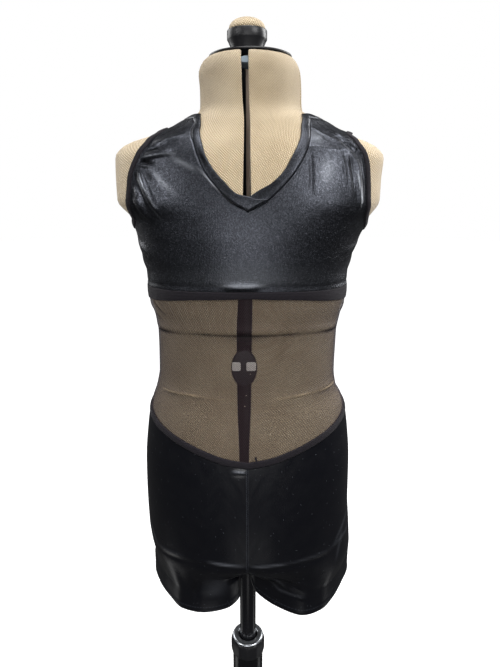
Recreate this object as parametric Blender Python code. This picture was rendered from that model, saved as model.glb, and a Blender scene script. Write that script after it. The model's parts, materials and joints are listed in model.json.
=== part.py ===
"""Child's dance shortall on an adjustable dress form and stand.

Metres, +Z up, the front faces -Y, and the wearer's left is +X. The origin is on
the floor, on the axis of the stand's pole. The form is a smooth body surface
given by level sections. Every cloth piece is a patch of that surface, lifted
off it by a small clearance and given its thickness.
"""

import math

import bmesh
import bpy
import numpy as np

MM = 0.001

# ---------------------------------------------------------------- form sections
# Level sections of the body surface, in millimetres apart from the height in
# metres. The widths are those to the wearer's left and right of the pole's axis,
# and squareness is the exponent of the superellipse (2 is an ellipse).
SECTION_COLUMNS = ("height", "left_width", "right_width", "front_depth", "back_depth", "squareness")
SECTIONS = (
    (0.5600, 122.0, 122.0, 94.0, 98.0, 2.15),
    (0.6000, 131.0, 119.0, 95.0, 100.0, 2.15),
    (0.6400, 129.6, 121.5, 97.0, 103.0, 2.15),
    (0.6680, 127.6, 124.2, 97.6, 104.8, 2.15),
    (0.7000, 124.8, 124.6, 98.0, 106.0, 2.15),
    (0.7540, 123.6, 123.6, 95.0, 101.0, 2.15),
    (0.7980, 119.2, 119.2, 90.0, 91.0, 2.15),
    (0.8290, 113.2, 113.2, 85.0, 82.0, 2.15),
    (0.8460, 104.6, 107.2, 82.0, 78.0, 2.15),
    (0.8680, 101.3, 103.0, 80.0, 76.0, 2.15),
    (0.9150, 101.9, 102.0, 81.0, 77.0, 2.15),
    (0.9360, 105.2, 104.9, 84.0, 80.0, 2.15),
    (0.9550, 109.9, 110.2, 87.0, 83.0, 2.15),
    (0.9850, 110.6, 111.0, 90.0, 86.0, 2.15),
    (1.0050, 115.1, 115.4, 91.0, 88.0, 2.15),
    (1.0220, 121.4, 118.9, 91.0, 88.0, 2.15),
    (1.0400, 131.5, 125.2, 90.0, 88.0, 2.15),
    (1.0600, 144.7, 141.8, 87.0, 86.0, 2.15),
    (1.0820, 145.1, 142.1, 82.0, 83.0, 2.15),
    (1.1040, 146.8, 141.7, 75.0, 79.0, 2.10),
    (1.1165, 135.6, 130.4, 69.0, 74.0, 2.05),
    (1.1235, 116.6, 109.6, 65.0, 70.0, 2.00),
    (1.1300, 98.0, 85.2, 61.0, 66.0, 2.00),
    (1.1370, 85.0, 71.0, 58.0, 61.0, 2.00),
    (1.1435, 69.5, 58.0, 54.5, 57.0, 2.00),
    (1.1500, 58.5, 50.5, 51.5, 53.0, 2.00),
    (1.1570, 57.2, 49.4, 50.5, 51.0, 2.00),
    (1.1700, 56.8, 49.4, 50.0, 50.0, 2.00),
    (1.1860, 55.4, 50.4, 50.0, 50.0, 2.00),
    (1.1950, 52.0, 47.4, 48.5, 48.5, 2.00),
    (1.2010, 47.0, 40.6, 44.0, 44.0, 2.00),
)
SECTION = {name: i for i, name in enumerate(SECTION_COLUMNS)}
SECTION_ROWS = np.array(SECTIONS)

FORM_WALL = 4.0 * MM
FORM_TOP = 1.2010
RIM_SIDE = 0.650  # the form's open lower edge, at the sides
RIM_RISE_FRONT = 0.016  # how much higher that edge runs at the centre front
RIM_RISE_BACK = 0.010
FRONT_LEVELS = (
    0.674, 0.714, 0.754, 0.789, 0.815, 0.832, 0.848, 0.868, 0.877, 0.890,
    0.903, 0.912, 0.928, 0.944, 0.965, 0.984, 1.002, 1.022, 1.042, 1.064,
    1.090, 1.1060, 1.1165, 1.1235, 1.1300, 1.1370, 1.1435, 1.1500, 1.1570,
    1.1860, 1.1950, FORM_TOP,
)
BACK_LEVELS = (
    0.674, 0.714, 0.754, 0.789, 0.815, 0.832, 0.848, 0.868, 0.915, 0.936,
    0.960, 0.984, 1.002, 1.022, 1.042, 1.064, 1.090, 1.1060, 1.1165, 1.1235,
    1.1300, 1.1370, 1.1435, 1.1500, 1.1570, 1.1860, 1.1950, FORM_TOP,
)
SHELL_COLUMNS_FRONT = 7
SHELL_COLUMNS_BACK = 6

# The open slot between the two front shells, in millimetres.
SLOT_COLUMNS = ("height", "centre_x", "half_width")
FRONT_SLOT = (
    (0.640, -3.0, 4.2),
    (0.790, -3.4, 5.2),
    (0.855, -3.3, 7.4),
    (0.925, -3.0, 7.9),
    (0.965, -1.8, 7.2),
    (1.020, -0.4, 5.0),
    (1.070, 0.0, 3.8),
    (1.1355, 0.1, 2.9),
    (1.159, -1.4, 3.4),
    (1.203, -2.4, 3.8),
)
DIAL_CENTRE = 0.890
NOTCH_HALF_HEIGHT = 21.0 * MM  # the slot widens to an oval round the dial
NOTCH_HALF_WIDTH = 13.7 * MM
DIAL_HALF_HEIGHT = 19.0 * MM
DIAL_HALF_WIDTH = 11.9 * MM
BACK_SLOT_HALF = 3.5 * MM
SIDE_SLOT = (  # height, y of the slot on the wearer's left, and on the right
    (0.640, 0.0, 0.0),
    (1.120, 0.0, 0.0),
    (1.150, -10.0, 0.0),
    (1.203, -12.0, 0.0),
)
SIDE_SLOT_HALF = 1.6 * MM

# ---------------------------------------------------------------- cloth layers
CLOTH_CLEAR = 1.3 * MM  # from the form to the cloth
CLOTH_WALL = 1.2 * MM
SEAM_GAP = 0.3 * MM
TRIM_LIFT = CLOTH_CLEAR + CLOTH_WALL + 0.8 * MM
TRIM_WALL = 1.0 * MM
BAND_WALL = 1.8 * MM

# Neckline of the wearer's left (+) and right (-), from the front point to the
# shoulder seam: the seam and the free edge of the neckband, degrees and metres.
NECK_COLUMNS = ("seam_angle", "seam_height", "edge_angle", "edge_height")
NECK_RIGHT = (
    (1.0, 1.0508, 1.6, 1.0640),
    (-10.0, 1.0599, -5.8, 1.0665),
    (-19.5, 1.0736, -14.8, 1.0785),
    (-27.0, 1.0869, -21.8, 1.0893),
    (-32.7, 1.1014, -27.6, 1.1012),
    (-37.5, 1.1134, -32.0, 1.1128),
    (-44.3, 1.1254, -38.5, 1.1262),
    (-48.8, 1.1335, -43.8, 1.1357),
    (-56.0, 1.1385, -51.5, 1.1425),
)
NECK_LEFT = (
    (1.0, 1.0508, 1.6, 1.0640),
    (10.8, 1.0582, 7.5, 1.0700),
    (18.8, 1.0681, 14.3, 1.0753),
    (28.7, 1.0835, 22.8, 1.0860),
    (37.5, 1.1014, 30.5, 1.1018),
    (44.0, 1.1169, 38.0, 1.1165),
    (50.0, 1.1272, 44.5, 1.1285),
    (54.5, 1.1335, 49.5, 1.1362),
    (59.0, 1.1385, 55.0, 1.1420),
)
NECK_UNDER_END = ((-9.0, 1.0606, -6.0, 1.0630), (-4.0, 1.0558, -3.0, 1.0652))
NECK_OVER_END = ((366.5, 1.0555, 366.0, 1.0618), (373.0, 1.0608, 372.5, 1.0618))
NECK_BACK = (  # from the wearer's left shoulder round to the right one
    (59.0, 1.1385, 55.0, 1.1420),
    (72.0, 1.1385, 69.0, 1.1438),
    (90.0, 1.1380, 90.0, 1.1440),
    (110.0, 1.1355, 110.0, 1.1425),
    (135.0, 1.1310, 135.0, 1.1400),
    (180.0, 1.1260, 180.0, 1.1350),
    (225.0, 1.1310, 225.0, 1.1400),
    (250.0, 1.1355, 250.0, 1.1425),
    (270.0, 1.1380, 270.0, 1.1438),
    (289.0, 1.1388, 292.0, 1.1436),
    (304.0, 1.1385, 308.5, 1.1425),
)
ARMHOLE_COLUMNS = ("angle", "height")
ARMHOLE_RIGHT_FRONT = (  # up from the underarm to the shoulder seam
    (-90.0, 1.0300), (-81.0, 1.0320), (-74.0, 1.0370), (-68.8, 1.0455),
    (-66.0, 1.0570), (-65.4, 1.0702), (-65.2, 1.0820), (-64.1, 1.0933),
    (-62.6, 1.1050), (-61.8, 1.1110),
)
ARMHOLE_RIGHT_BACK = (  # on over the shoulder and down to the underarm
    (-61.8, 1.1110), (-62.5, 1.1200), (-67.0, 1.1262), (-76.0, 1.1296),
    (-90.0, 1.1302), (-104.0, 1.1272), (-112.0, 1.1180), (-115.5, 1.1040),
    (-115.0, 1.0860), (-113.0, 1.0660), (-108.0, 1.0480), (-100.0, 1.0360),
    (-90.0, 1.0300),
)
ARMHOLE_LEFT_FRONT = (
    (90.0, 1.0290), (82.0, 1.0310), (76.0, 1.0350), (71.5, 1.0415),
    (67.8, 1.0500), (66.2, 1.0620), (66.6, 1.0790), (66.8, 1.0950),
    (66.2, 1.1085), (66.3, 1.1125),
)
ARMHOLE_LEFT_BACK = (
    (66.3, 1.1125), (68.0, 1.1195), (73.0, 1.1243), (81.0, 1.1266),
    (90.0, 1.1270), (103.0, 1.1243), (111.0, 1.1160), (114.5, 1.1030),
    (114.5, 1.0850), (112.5, 1.0660), (108.0, 1.0480), (100.0, 1.0355),
    (90.0, 1.0290),
)
SHOULDER_SEAM_TURN = 0.35  # degrees between the front and back panels at the shoulder
BINDING_WIDTH = 5.5 * MM
BINDING_OVERHANG = 0.6 * MM
FRONT_ROWS_LOW, FRONT_ROWS_HIGH = 5, 13  # net rows below and above the neck's lowest place
BACK_ROWS_LOW, BACK_ROWS_HIGH = 7, 11
SHORTS_COLUMNS = 22
TRUNK_STEPS = (0.0, 0.2, 0.45, 0.7, 0.9, 1.0)  # waist to the form's edge
BEND_STEPS = (0.25, 0.5, 0.72, 0.88, 1.0)  # under the form
HEM_STEPS = (0.5, 1.0)  # down the leg

UNDERBUST_COLUMNS = ("angle", "top", "bottom")
UNDERBUST = (
    (0.0, 0.9742, 0.9668),
    (30.0, 0.9731, 0.9643),
    (55.0, 0.9714, 0.9592),
    (72.0, 0.9706, 0.9560),
    (90.0, 0.9700, 0.9545),
    (135.0, 0.9700, 0.9555),
    (180.0, 0.9700, 0.9560),
)
WAIST_COLUMNS = ("angle", "lower_edge")
WAIST = (
    (0.0, 0.7805), (14.0, 0.7838), (29.0, 0.7905), (45.0, 0.7990),
    (62.0, 0.8080), (73.0, 0.8135), (90.0, 0.8180), (135.0, 0.8220),
    (180.0, 0.8220),
)
WAIST_BAND_WIDTH = 7.0 * MM

# ---------------------------------------------------------------- folds
# A fold is a soft ridge (height above nought) or trough between two places on
# the body surface: degrees and metres for its ends, millimetres for its size.
FOLD_COLUMNS = ("angle_a", "height_a", "angle_b", "height_b", "half_width", "rise")
BODICE_FOLDS = (
    (-61.0, 1.1030, -47.0, 1.1050, 3.2, 2.0),
    (-62.0, 1.0960, -54.0, 1.0955, 3.0, -0.7),
    (-62.0, 1.0850, -54.0, 1.0560, 2.6, 2.2),
    (-61.0, 1.0790, -55.5, 1.0520, 2.4, -0.7),
    (-60.5, 1.0860, -49.5, 1.0490, 2.8, 1.8),
    (-62.5, 1.0670, -56.0, 1.0420, 3.0, 1.4),
    (-60.0, 1.1130, -46.0, 1.1200, 3.5, 1.2),
    (60.5, 1.1215, 64.0, 1.1060, 3.0, 1.8),
    (57.0, 1.1180, 62.5, 1.0950, 3.2, 1.3),
    (63.0, 1.1000, 62.0, 1.0520, 3.2, 1.8),
    (58.0, 1.0960, 58.5, 1.0620, 4.0, 1.0),
    (64.5, 1.0860, 68.0, 1.0480, 2.8, 1.3),
    (-16.0, 0.9785, 8.0, 0.9780, 3.2, 1.3),
    (-86.0, 1.0200, -60.0, 1.0060, 5.0, 1.4),
    (86.0, 1.0190, 62.0, 1.0080, 5.0, 1.3),
    (-88.0, 1.0020, -70.0, 0.9900, 5.0, 1.1),
    (88.0, 1.0040, 72.0, 0.9890, 5.0, 1.0),
)
BACK_FOLDS = (
    (118.0, 1.0850, 128.0, 1.0560, 3.4, 1.8),
    (117.0, 1.0640, 132.0, 1.0420, 3.6, 1.4),
    (118.0, 1.1020, 134.0, 1.1050, 3.6, 1.5),
    (242.0, 1.0850, 231.0, 1.0540, 3.4, 1.8),
    (243.0, 1.0660, 228.0, 1.0440, 3.6, 1.4),
    (243.0, 1.1040, 227.0, 1.1080, 3.6, 1.5),
    (94.0, 1.0180, 120.0, 1.0060, 5.0, 1.3),
    (266.0, 1.0180, 238.0, 1.0040, 5.0, 1.3),
    (165.0, 0.9790, 192.0, 0.9785, 3.4, 1.2),
)
MIDRIFF_FOLDS = (
    (-74.0, 0.9170, -30.0, 0.9262, 2.4, -0.9),
    (-36.0, 0.9258, 36.0, 0.9262, 2.6, -0.7),
    (30.0, 0.9264, 72.0, 0.9190, 2.4, -0.9),
    (-70.0, 0.9310, 66.0, 0.9330, 6.0, 0.7),
    (-64.0, 0.8560, -40.0, 0.8565, 2.2, 1.5),
    (-44.0, 0.8565, -18.0, 0.8570, 2.4, 1.1),
    (24.0, 0.8570, 46.0, 0.8575, 2.4, 1.2),
    (40.0, 0.8575, 71.0, 0.8600, 2.2, 1.5),
    (-76.0, 0.9540, -62.0, 0.9370, 3.0, 1.6),
    (80.0, 0.9500, 88.0, 0.9330, 3.6, 1.2),
    (110.0, 0.9230, 165.0, 0.9270, 2.6, -0.9),
    (195.0, 0.9270, 250.0, 0.9220, 2.6, -0.9),
    (105.0, 0.8590, 150.0, 0.8560, 2.6, 1.4),
    (208.0, 0.8560, 256.0, 0.8600, 2.6, 1.4),
)

# ---------------------------------------------------------------- shorts
CROTCH_START_FRONT = 0.6630  # where the centre seams turn under the form
CROTCH_START_BACK = 0.6560
CROTCH_LOW = 0.6160
TURN_UNDER_SIDE = 0.6440
LEG_START = 0.6080  # where the bend under the form ends at the outside of a leg
# The seam under the form seen from above, in millimetres: it passes the pole on
# the wearer's left.
SEAM_COLUMNS = ("y", "x")
SEAM_PLAN = (
    (-110.0, 0.0), (-80.0, 0.3), (-58.0, 1.0), (-45.0, 2.4), (-24.0, 9.6), (0.0, 16.0),
    (24.0, 12.0), (45.0, 6.0), (70.0, 1.5), (110.0, 0.0),
)
# Each leg seen from above, from the inseam round the front, the outside and the
# back to the inseam again: share of the way, inner face in millimetres, hem in metres.
LEG_COLUMNS = ("share", "x", "y", "hem")
RIGHT_LEG = (
    (0.000, 14.5, 0.0, 0.6070),
    (0.045, 8.0, -24.0, 0.6080),
    (0.091, -1.5, -45.5, 0.6075),
    (0.120, -11.5, -50.5, 0.5930),
    (0.145, -10.5, -55.0, 0.5805),
    (0.190, -25.0, -71.5, 0.5778),
    (0.250, -54.0, -77.5, 0.5770),
    (0.310, -79.0, -71.5, 0.5775),
    (0.370, -96.5, -53.5, 0.5790),
    (0.430, -112.0, -31.5, 0.5805),
    (0.500, -122.8, 0.0, 0.5810),
    (0.580, -114.0, 36.0, 0.5820),
    (0.670, -92.0, 66.0, 0.5840),
    (0.760, -58.0, 80.0, 0.5850),
    (0.850, -24.0, 70.0, 0.5870),
    (0.909, -3.0, 47.0, 0.5980),
    (0.955, 8.0, 24.0, 0.6060),
    (1.000, 14.5, 0.0, 0.6070),
)
LEFT_LEG = (
    (0.000, 17.6, 0.0, 0.6060),
    (0.045, 12.2, -24.0, 0.6060),
    (0.091, 5.0, -47.0, 0.6010),
    (0.120, 9.0, -53.0, 0.5890),
    (0.145, 17.0, -58.5, 0.5835),
    (0.190, 36.0, -69.0, 0.5780),
    (0.250, 66.5, -79.0, 0.5742),
    (0.310, 88.5, -72.0, 0.5752),
    (0.370, 105.0, -55.5, 0.5772),
    (0.430, 119.5, -32.0, 0.5788),
    (0.500, 133.0, 0.0, 0.5798),
    (0.580, 124.0, 36.0, 0.5820),
    (0.670, 100.0, 66.0, 0.5840),
    (0.760, 66.0, 80.0, 0.5850),
    (0.850, 34.0, 70.0, 0.5870),
    (0.909, 14.0, 49.0, 0.5980),
    (0.955, 15.0, 24.0, 0.6050),
    (1.000, 17.6, 0.0, 0.6060),
)
RIM_DIP_RIGHT = 2.2 * MM  # how far the cloth sinks in below the form's edge, outside
RIM_DIP_LEFT = -1.2 * MM
HEM_ROLL = 0.7 * MM

# ---------------------------------------------------------------- stand
POLE_RADIUS = 11.0 * MM
POLE_TOP = 1.1960
POLE_FOOT = 0.1200
GUIDE_CLEAR = 0.3 * MM
TUBE_RADIUS = 21.0 * MM
TUBE_WALL = 2.0 * MM
TUBE_TOP = 0.4400
TUBE_FOOT = 0.0300
COLLAR_TOP = 0.4630
COLLAR_RADIUS = 23.6 * MM
COLLAR_SIDES = 12
RING_TOP = 0.4663
RING_HOLE = 13.0 * MM
BASE_LOW = 0.0220
BASE_TOP = 0.1000
BASE_RADIUS = 32.0 * MM
LEG_COUNT = 4
LEG_REACH = 230.0 * MM
LEG_WIDTH = 22.0 * MM
LEG_ROOT_LOW = 0.0500
LEG_ROOT_TOP = 0.0780
LEG_TIP_LOW = 0.0193
LEG_TIP_TOP = 0.0330
FOOT_RADIUS = 17.0 * MM
FOOT_HEIGHT = 0.0190

HIP_SPIDER_HEIGHT = 0.7000
CHEST_SPIDER_HEIGHT = 1.0000
SPIDER_THICK = 8.0 * MM
HUB_RADIUS = 19.0 * MM
STOP_COLLAR_HEIGHT = 14.0 * MM
STOP_COLLAR_RADIUS = 18.0 * MM
WALL_TOUCH = 1.7 * MM  # from the arms to the shells, whose flat facets come 1.4 mm nearer

CAP_RADIUS = 43.0 * MM
CAP_SHIFT = 3.3 * MM  # the neck stands off the pole's axis, to the wearer's left
CAP_LOW = FORM_TOP + 0.5 * MM
CAP_THICK = 2.0 * MM


# ---------------------------------------------------------------- scene helpers
def clear_scene():
    for found in list(bpy.data.objects):
        bpy.data.objects.remove(found, do_unlink=True)


def finish(name, colour, roughness, metallic=0.0):
    """A Principled material from an sRGB triple of 0 to 255."""
    made = bpy.data.materials.new(name)
    made.use_nodes = True
    shader = made.node_tree.nodes["Principled BSDF"]
    linear = [((c / 255 + 0.055) / 1.055) ** 2.4 for c in colour]
    shader.inputs["Base Color"].default_value = (*linear, 1.0)
    shader.inputs["Roughness"].default_value = roughness
    shader.inputs["Metallic"].default_value = metallic
    return made


def add_object(name, points, faces, material, sharp=40.0):
    """A smooth-shaded mesh object from arrays of points and faces."""
    mesh = bpy.data.meshes.new(name)
    mesh.from_pydata(np.asarray(points).tolist(), [], [list(f) for f in faces])
    mesh.validate()
    mesh.shade_smooth()
    mesh.set_sharp_from_angle(angle=math.radians(sharp))
    mesh.materials.append(material)
    made = bpy.data.objects.new(name, mesh)
    bpy.context.scene.collection.objects.link(made)
    return made


def turned(name, profile, material, sides=24, closed=False, sharp=40.0):
    """A solid turned round the Z axis from (radius, height) points, bottom to top.

    An open profile starts and ends on the axis, and a closed one is a ring.
    """
    rows = np.array(profile, float)
    angles = np.arange(sides) * 2 * math.pi / sides
    mesh = bmesh.new()
    rings = []
    for radius, height in rows:
        if radius < 1e-6:
            rings.append([mesh.verts.new((0, 0, height))])
            continue
        rings.append([
            mesh.verts.new((radius * math.cos(a), radius * math.sin(a), height)) for a in angles
        ])
    pairs = list(zip(rings, rings[1:] + rings[:1]))
    for low, high in pairs if closed else pairs[:-1]:
        for i in range(sides):
            j = (i + 1) % sides
            corners = [low[i % len(low)], low[j % len(low)]]
            corners += [high[j % len(high)], high[i % len(high)]]
            mesh.faces.new(list(dict.fromkeys(corners)))
    bmesh.ops.recalc_face_normals(mesh, faces=mesh.faces)
    points = [v.co.copy() for v in mesh.verts]
    mesh.verts.index_update()
    faces = [[v.index for v in f.verts] for f in mesh.faces]
    mesh.free()
    return add_object(name, points, faces, material, sharp)


def join_solids(target, others):
    """Boolean union of overlapping closed objects into the first."""
    for other in others:
        union = target.modifiers.new("union", "BOOLEAN")
        union.operation = "UNION"
        union.solver = "EXACT"
        union.object = other
        other.hide_render = True
        other.display_type = "WIRE"
    return target


# ---------------------------------------------------------------- body surface
def smooth_column(table, column, at):
    """A table's column as a smooth curve without overshoot (monotone cubic)."""
    rows = np.asarray(table, float)
    x, y = rows[:, 0], rows[:, column]
    step = np.diff(x)
    slope = np.diff(y) / step
    first = 2 * step[1:] + step[:-1]
    second = step[1:] + 2 * step[:-1]
    same_way = slope[1:] * slope[:-1] > 0
    safe = np.where(same_way, slope[:-1], 1.0), np.where(same_way, slope[1:], 1.0)
    inner = np.where(same_way, (first + second) / (first / safe[0] + second / safe[1]), 0.0)
    tangent = np.concatenate([slope[:1], inner, slope[-1:]])
    at = np.clip(at, x[0], x[-1])
    i = np.clip(np.searchsorted(x, at) - 1, 0, len(step) - 1)
    t = (at - x[i]) / step[i]
    return (
        y[i] * (1 + 2 * t) * (1 - t) ** 2
        + tangent[i] * step[i] * t * (1 - t) ** 2
        + y[i + 1] * t * t * (3 - 2 * t)
        + tangent[i + 1] * step[i] * t * t * (t - 1)
    )


def section_value(name, height):
    return smooth_column(SECTION_ROWS, SECTION[name], height)


def side_width(x, height):
    """How wide a section is on the side of x, in metres."""
    return np.where(
        np.asarray(x) > 0, section_value("left_width", height), section_value("right_width", height)
    ) * MM


def body(angle, height):
    """Points of the body surface, with the angle in radians from the front centre."""
    angle, height = np.broadcast_arrays(np.asarray(angle, float), np.asarray(height, float))
    wide = side_width(np.sin(angle), height)
    in_front = np.cos(angle) > 0
    deep = np.where(
        in_front, section_value("front_depth", height), section_value("back_depth", height)
    ) * MM
    power = section_value("squareness", height)
    radius = (
        np.abs(np.cos(angle) / deep) ** power + np.abs(np.sin(angle) / wide) ** power
    ) ** (-1 / power)
    return np.stack([radius * np.sin(angle), -radius * np.cos(angle), height], -1)


def body_normal(angle, height):
    turn, climb = 1e-4, 2e-4
    across = body(angle + turn, height) - body(angle - turn, height)
    upward = body(angle, np.asarray(height) + climb) - body(angle, np.asarray(height) - climb)
    normal = np.cross(across, upward)
    return normal / np.linalg.norm(normal, axis=-1, keepdims=True)


def lifted(angle, height, lift):
    lift = np.broadcast_to(lift, np.broadcast(angle, height).shape)[..., None]
    return body(angle, height) + body_normal(angle, height) * lift


def angle_at(x, height):
    """The angle at which a front section reaches the given x."""
    wide = side_width(x, height)
    deep = section_value("front_depth", height) * MM
    power = section_value("squareness", height)
    y = deep * (1 - np.abs(x / wide) ** power) ** (1 / power)
    return np.arctan2(x, y)


def side_angle(side, y, height):
    """How far a section has turned where it reaches depth y beside the body."""
    wide = side_width(side, height)
    deep = np.where(y < 0, section_value("front_depth", height),
                    section_value("back_depth", height)) * MM
    power = section_value("squareness", height)
    x = wide * (1 - np.abs(y / deep) ** power) ** (1 / power)
    return np.arctan2(x, -y)


# ---------------------------------------------------------------- sheets
def grid_faces(rows, columns):
    """Quads of a grid of rows by columns points, as indices into the flat array."""
    index = np.arange(rows * columns).reshape(rows, columns)
    corners = (index[:-1, :-1], index[:-1, 1:], index[1:, 1:], index[1:, :-1])
    return np.stack(corners, -1).reshape(-1, 4)


def weld(outer, inner, faces):
    """The same sheet with points that fall together made one."""
    _, first, index = np.unique(
        np.round(outer / 1e-6).astype(np.int64), axis=0, return_index=True, return_inverse=True
    )
    return outer[first], inner[first], index.reshape(-1)[faces]


def sheet_solid(name, outer, inner, faces, material, sharp=50.0):
    """A closed wall between two matching sheets, with its rims filled.

    The faces go round anticlockwise as seen from outside.
    """
    count = len(outer)
    triangles = split_outwards(outer, inner, faces)
    edges = np.concatenate([triangles[:, [k, (k + 1) % 3]] for k in range(3)])
    ordered = np.sort(edges, axis=1)
    _, where, times = np.unique(ordered, axis=0, return_index=True, return_counts=True)
    rim = edges[where[times == 1]]
    rims = np.stack([rim[:, 1], rim[:, 0], rim[:, 0] + count, rim[:, 1] + count], -1)
    everything = triangles.tolist() + (triangles[:, ::-1] + count).tolist() + rims.tolist()
    points = np.concatenate([outer, inner])
    return add_object(name, points, everything, material, sharp)


def split_outwards(outer, inner, faces):
    """Quads cut in two along whichever diagonal lies further out, collapsed ones dropped."""
    away = (outer - inner)[faces].sum(axis=1)
    corners = outer[faces]
    bulge = ((corners[:, 1] + corners[:, 3] - corners[:, 0] - corners[:, 2]) * away).sum(axis=1)
    faces = np.where((bulge > 0)[:, None], np.roll(faces, -1, axis=1), faces)
    triangles = np.concatenate([faces[:, [0, 1, 2]], faces[:, [0, 2, 3]]])
    a, b, c = triangles.T
    return triangles[(a != b) & (b != c) & (c != a)]


def path_at(table, share):
    """Points of a smooth curve through a table's rows, at shares of its rows."""
    rows = np.asarray(table, float)
    knots = np.arange(len(rows), dtype=float)
    table_by_knot = np.column_stack([knots, rows])
    at = np.asarray(share) * (len(rows) - 1)
    return np.stack([smooth_column(table_by_knot, k + 1, at) for k in range(rows.shape[1])], -1)


def even_path(tables, share):
    """The curve through joined tables (angle, height), run at an even pace."""
    dense = np.concatenate([path_at(t, np.linspace(0, 1, 200)) for t in tables])
    points = body(np.radians(dense[:, 0]), dense[:, 1])
    run = np.concatenate([[0], np.cumsum(np.linalg.norm(np.diff(points, axis=0), axis=1))])
    at = np.asarray(share) * run[-1]
    return np.stack([np.interp(at, run, dense[:, k]) for k in (0, 1)], -1)


def fold_lift(folds, angle, height):
    """The rise of all folds at each place: soft ridges fading out at their ends."""
    total = np.zeros(np.broadcast(angle, height).shape)
    here = body(angle, height)
    for angle_a, height_a, angle_b, height_b, half_width, rise in folds:
        ends = body(np.radians([angle_a, angle_b]), np.array([height_a, height_b]))
        along = ends[1] - ends[0]
        length = np.linalg.norm(along)
        share = np.clip(((here - ends[0]) @ along) / length**2, 0, 1)
        # The ridge follows the surface between its ends, not the chord.
        on_line = body(
            np.radians(angle_a + (angle_b - angle_a) * share),
            height_a + (height_b - height_a) * share,
        )
        away = np.linalg.norm(here - on_line, axis=-1) / (half_width * MM)
        total += rise * MM * np.exp(-(away**2)) * np.sin(np.pi * np.clip(share, 0.04, 0.96)) ** 0.6
    return total


# ---------------------------------------------------------------- the form
def slot_half(height):
    """Half the width of the front slot, wider round the waist dial."""
    plain = smooth_column(FRONT_SLOT, 2, height) * MM
    off = np.clip(np.abs(height - DIAL_CENTRE) / NOTCH_HALF_HEIGHT, 0, 1)
    return np.maximum(plain, NOTCH_HALF_WIDTH * np.sqrt(1 - off**2))


def rim_height(angle):
    rise = np.where(np.cos(angle) > 0, RIM_RISE_FRONT, RIM_RISE_BACK)
    return RIM_SIDE + rise * np.cos(angle) ** 2


def form_shell(name, side, front, material):
    """One quarter of the form: side is 1 on the wearer's left and -1 on the right."""
    levels = np.array(FRONT_LEVELS if front else BACK_LEVELS)
    columns = SHELL_COLUMNS_FRONT if front else SHELL_COLUMNS_BACK
    column = 1 if side > 0 else 2
    gap_y = smooth_column(SIDE_SLOT, column, levels) * MM
    if front:
        centre = smooth_column(FRONT_SLOT, 1, levels) * MM
        start = side * angle_at(centre + side * slot_half(levels), levels)
        end = side_angle(side, gap_y - SIDE_SLOT_HALF, levels)
    else:
        start = side_angle(side, gap_y + SIDE_SLOT_HALF, levels)
        end = math.pi - np.arcsin(BACK_SLOT_HALF / (section_value("back_depth", levels) * MM))
    share = np.linspace(0, 1, columns + 1)
    angle = start[:, None] + (end - start)[:, None] * share[None, :]
    height = np.broadcast_to(levels[:, None], angle.shape)
    # One more row at the bottom follows the rim, below the lowest level.
    angle = np.concatenate([angle[:1], angle])
    height = np.concatenate([rim_height(angle[:1]), height])
    outer = lifted(angle * side, height, 0.0)
    inner = lifted(angle * side, height, -FORM_WALL)
    faces = grid_faces(*angle.shape)
    if side < 0:
        faces = faces[:, ::-1]
    return sheet_solid(name, outer.reshape(-1, 3), inner.reshape(-1, 3), faces, material)


def inner_reach(start, direction, height):
    """How far a line in a level plane runs from a start inside to the form's inner wall."""
    run = np.linspace(0.02, 0.16, 1401)
    x, y = start[0] + direction[0] * run, start[1] + direction[1] * run
    wall = lifted(np.arctan2(x, -y), np.full(run.shape, height), -FORM_WALL)
    outside = np.hypot(x, y) > np.hypot(wall[:, 0], wall[:, 1])
    return float(run[np.argmax(outside)])


def spider(name, height, material):
    """A hub round the pole with four arms that end just short of the shells."""
    sides = 16
    low, high = height - SPIDER_THICK / 2, height + SPIDER_THICK / 2
    angles = np.arange(sides) * 2 * math.pi / sides
    mesh = bmesh.new()
    hole = POLE_RADIUS + GUIDE_CLEAR
    rings = [
        [mesh.verts.new((r * math.sin(a), -r * math.cos(a), z)) for a in angles]
        for r, z in ((hole, low), (HUB_RADIUS, low), (HUB_RADIUS, high), (hole, high))
    ]
    outer_faces = []
    for k in range(4):
        for i in range(sides):
            j = (i + 1) % sides
            this, following = rings[k], rings[(k + 1) % 4]
            face = mesh.faces.new((this[i], this[j], following[j], following[i]))
            if k == 1:
                outer_faces.append(face)
    bmesh.ops.recalc_face_normals(mesh, faces=mesh.faces)
    for quarter in range(4):
        middle = sides // 8 + quarter * sides // 4
        picked = outer_faces[middle - 1 : middle + 1]
        bearing = math.pi / 4 + quarter * math.pi / 2
        grown = bmesh.ops.extrude_face_region(mesh, geom=picked)
        bmesh.ops.delete(mesh, geom=picked, context="FACES")
        moved = [v for v in grown["geom"] if isinstance(v, bmesh.types.BMVert)]
        direction = (math.sin(bearing), -math.cos(bearing))
        for v in moved:
            reach = inner_reach((v.co.x, v.co.y), direction, height) - WALL_TOUCH
            v.co.x += direction[0] * reach
            v.co.y += direction[1] * reach
    bmesh.ops.recalc_face_normals(mesh, faces=mesh.faces)
    mesh.verts.index_update()
    points = [v.co.copy() for v in mesh.verts]
    faces = [[v.index for v in f.verts] for f in mesh.faces]
    mesh.free()
    return add_object(name, points, faces, material, 30.0)


def oval_plate(name, centre, half_width, half_height, y_front, y_back, material, sides=20):
    """An upright oval plate that faces the front."""
    turn = np.arange(sides) * 2 * math.pi / sides
    across, upward = half_width * np.cos(turn), half_height * np.sin(turn)
    outline = np.stack([centre[0] + across, centre[1] + upward], -1)
    points = [(x, y, z) for y in (y_front, y_back) for x, z in outline]
    faces = [list(range(sides)), list(range(2 * sides - 1, sides - 1, -1))]
    faces += [[i, i + sides, (i + 1) % sides + sides, (i + 1) % sides] for i in range(sides)]
    return add_object(name, points, faces, material, 30.0)


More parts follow.
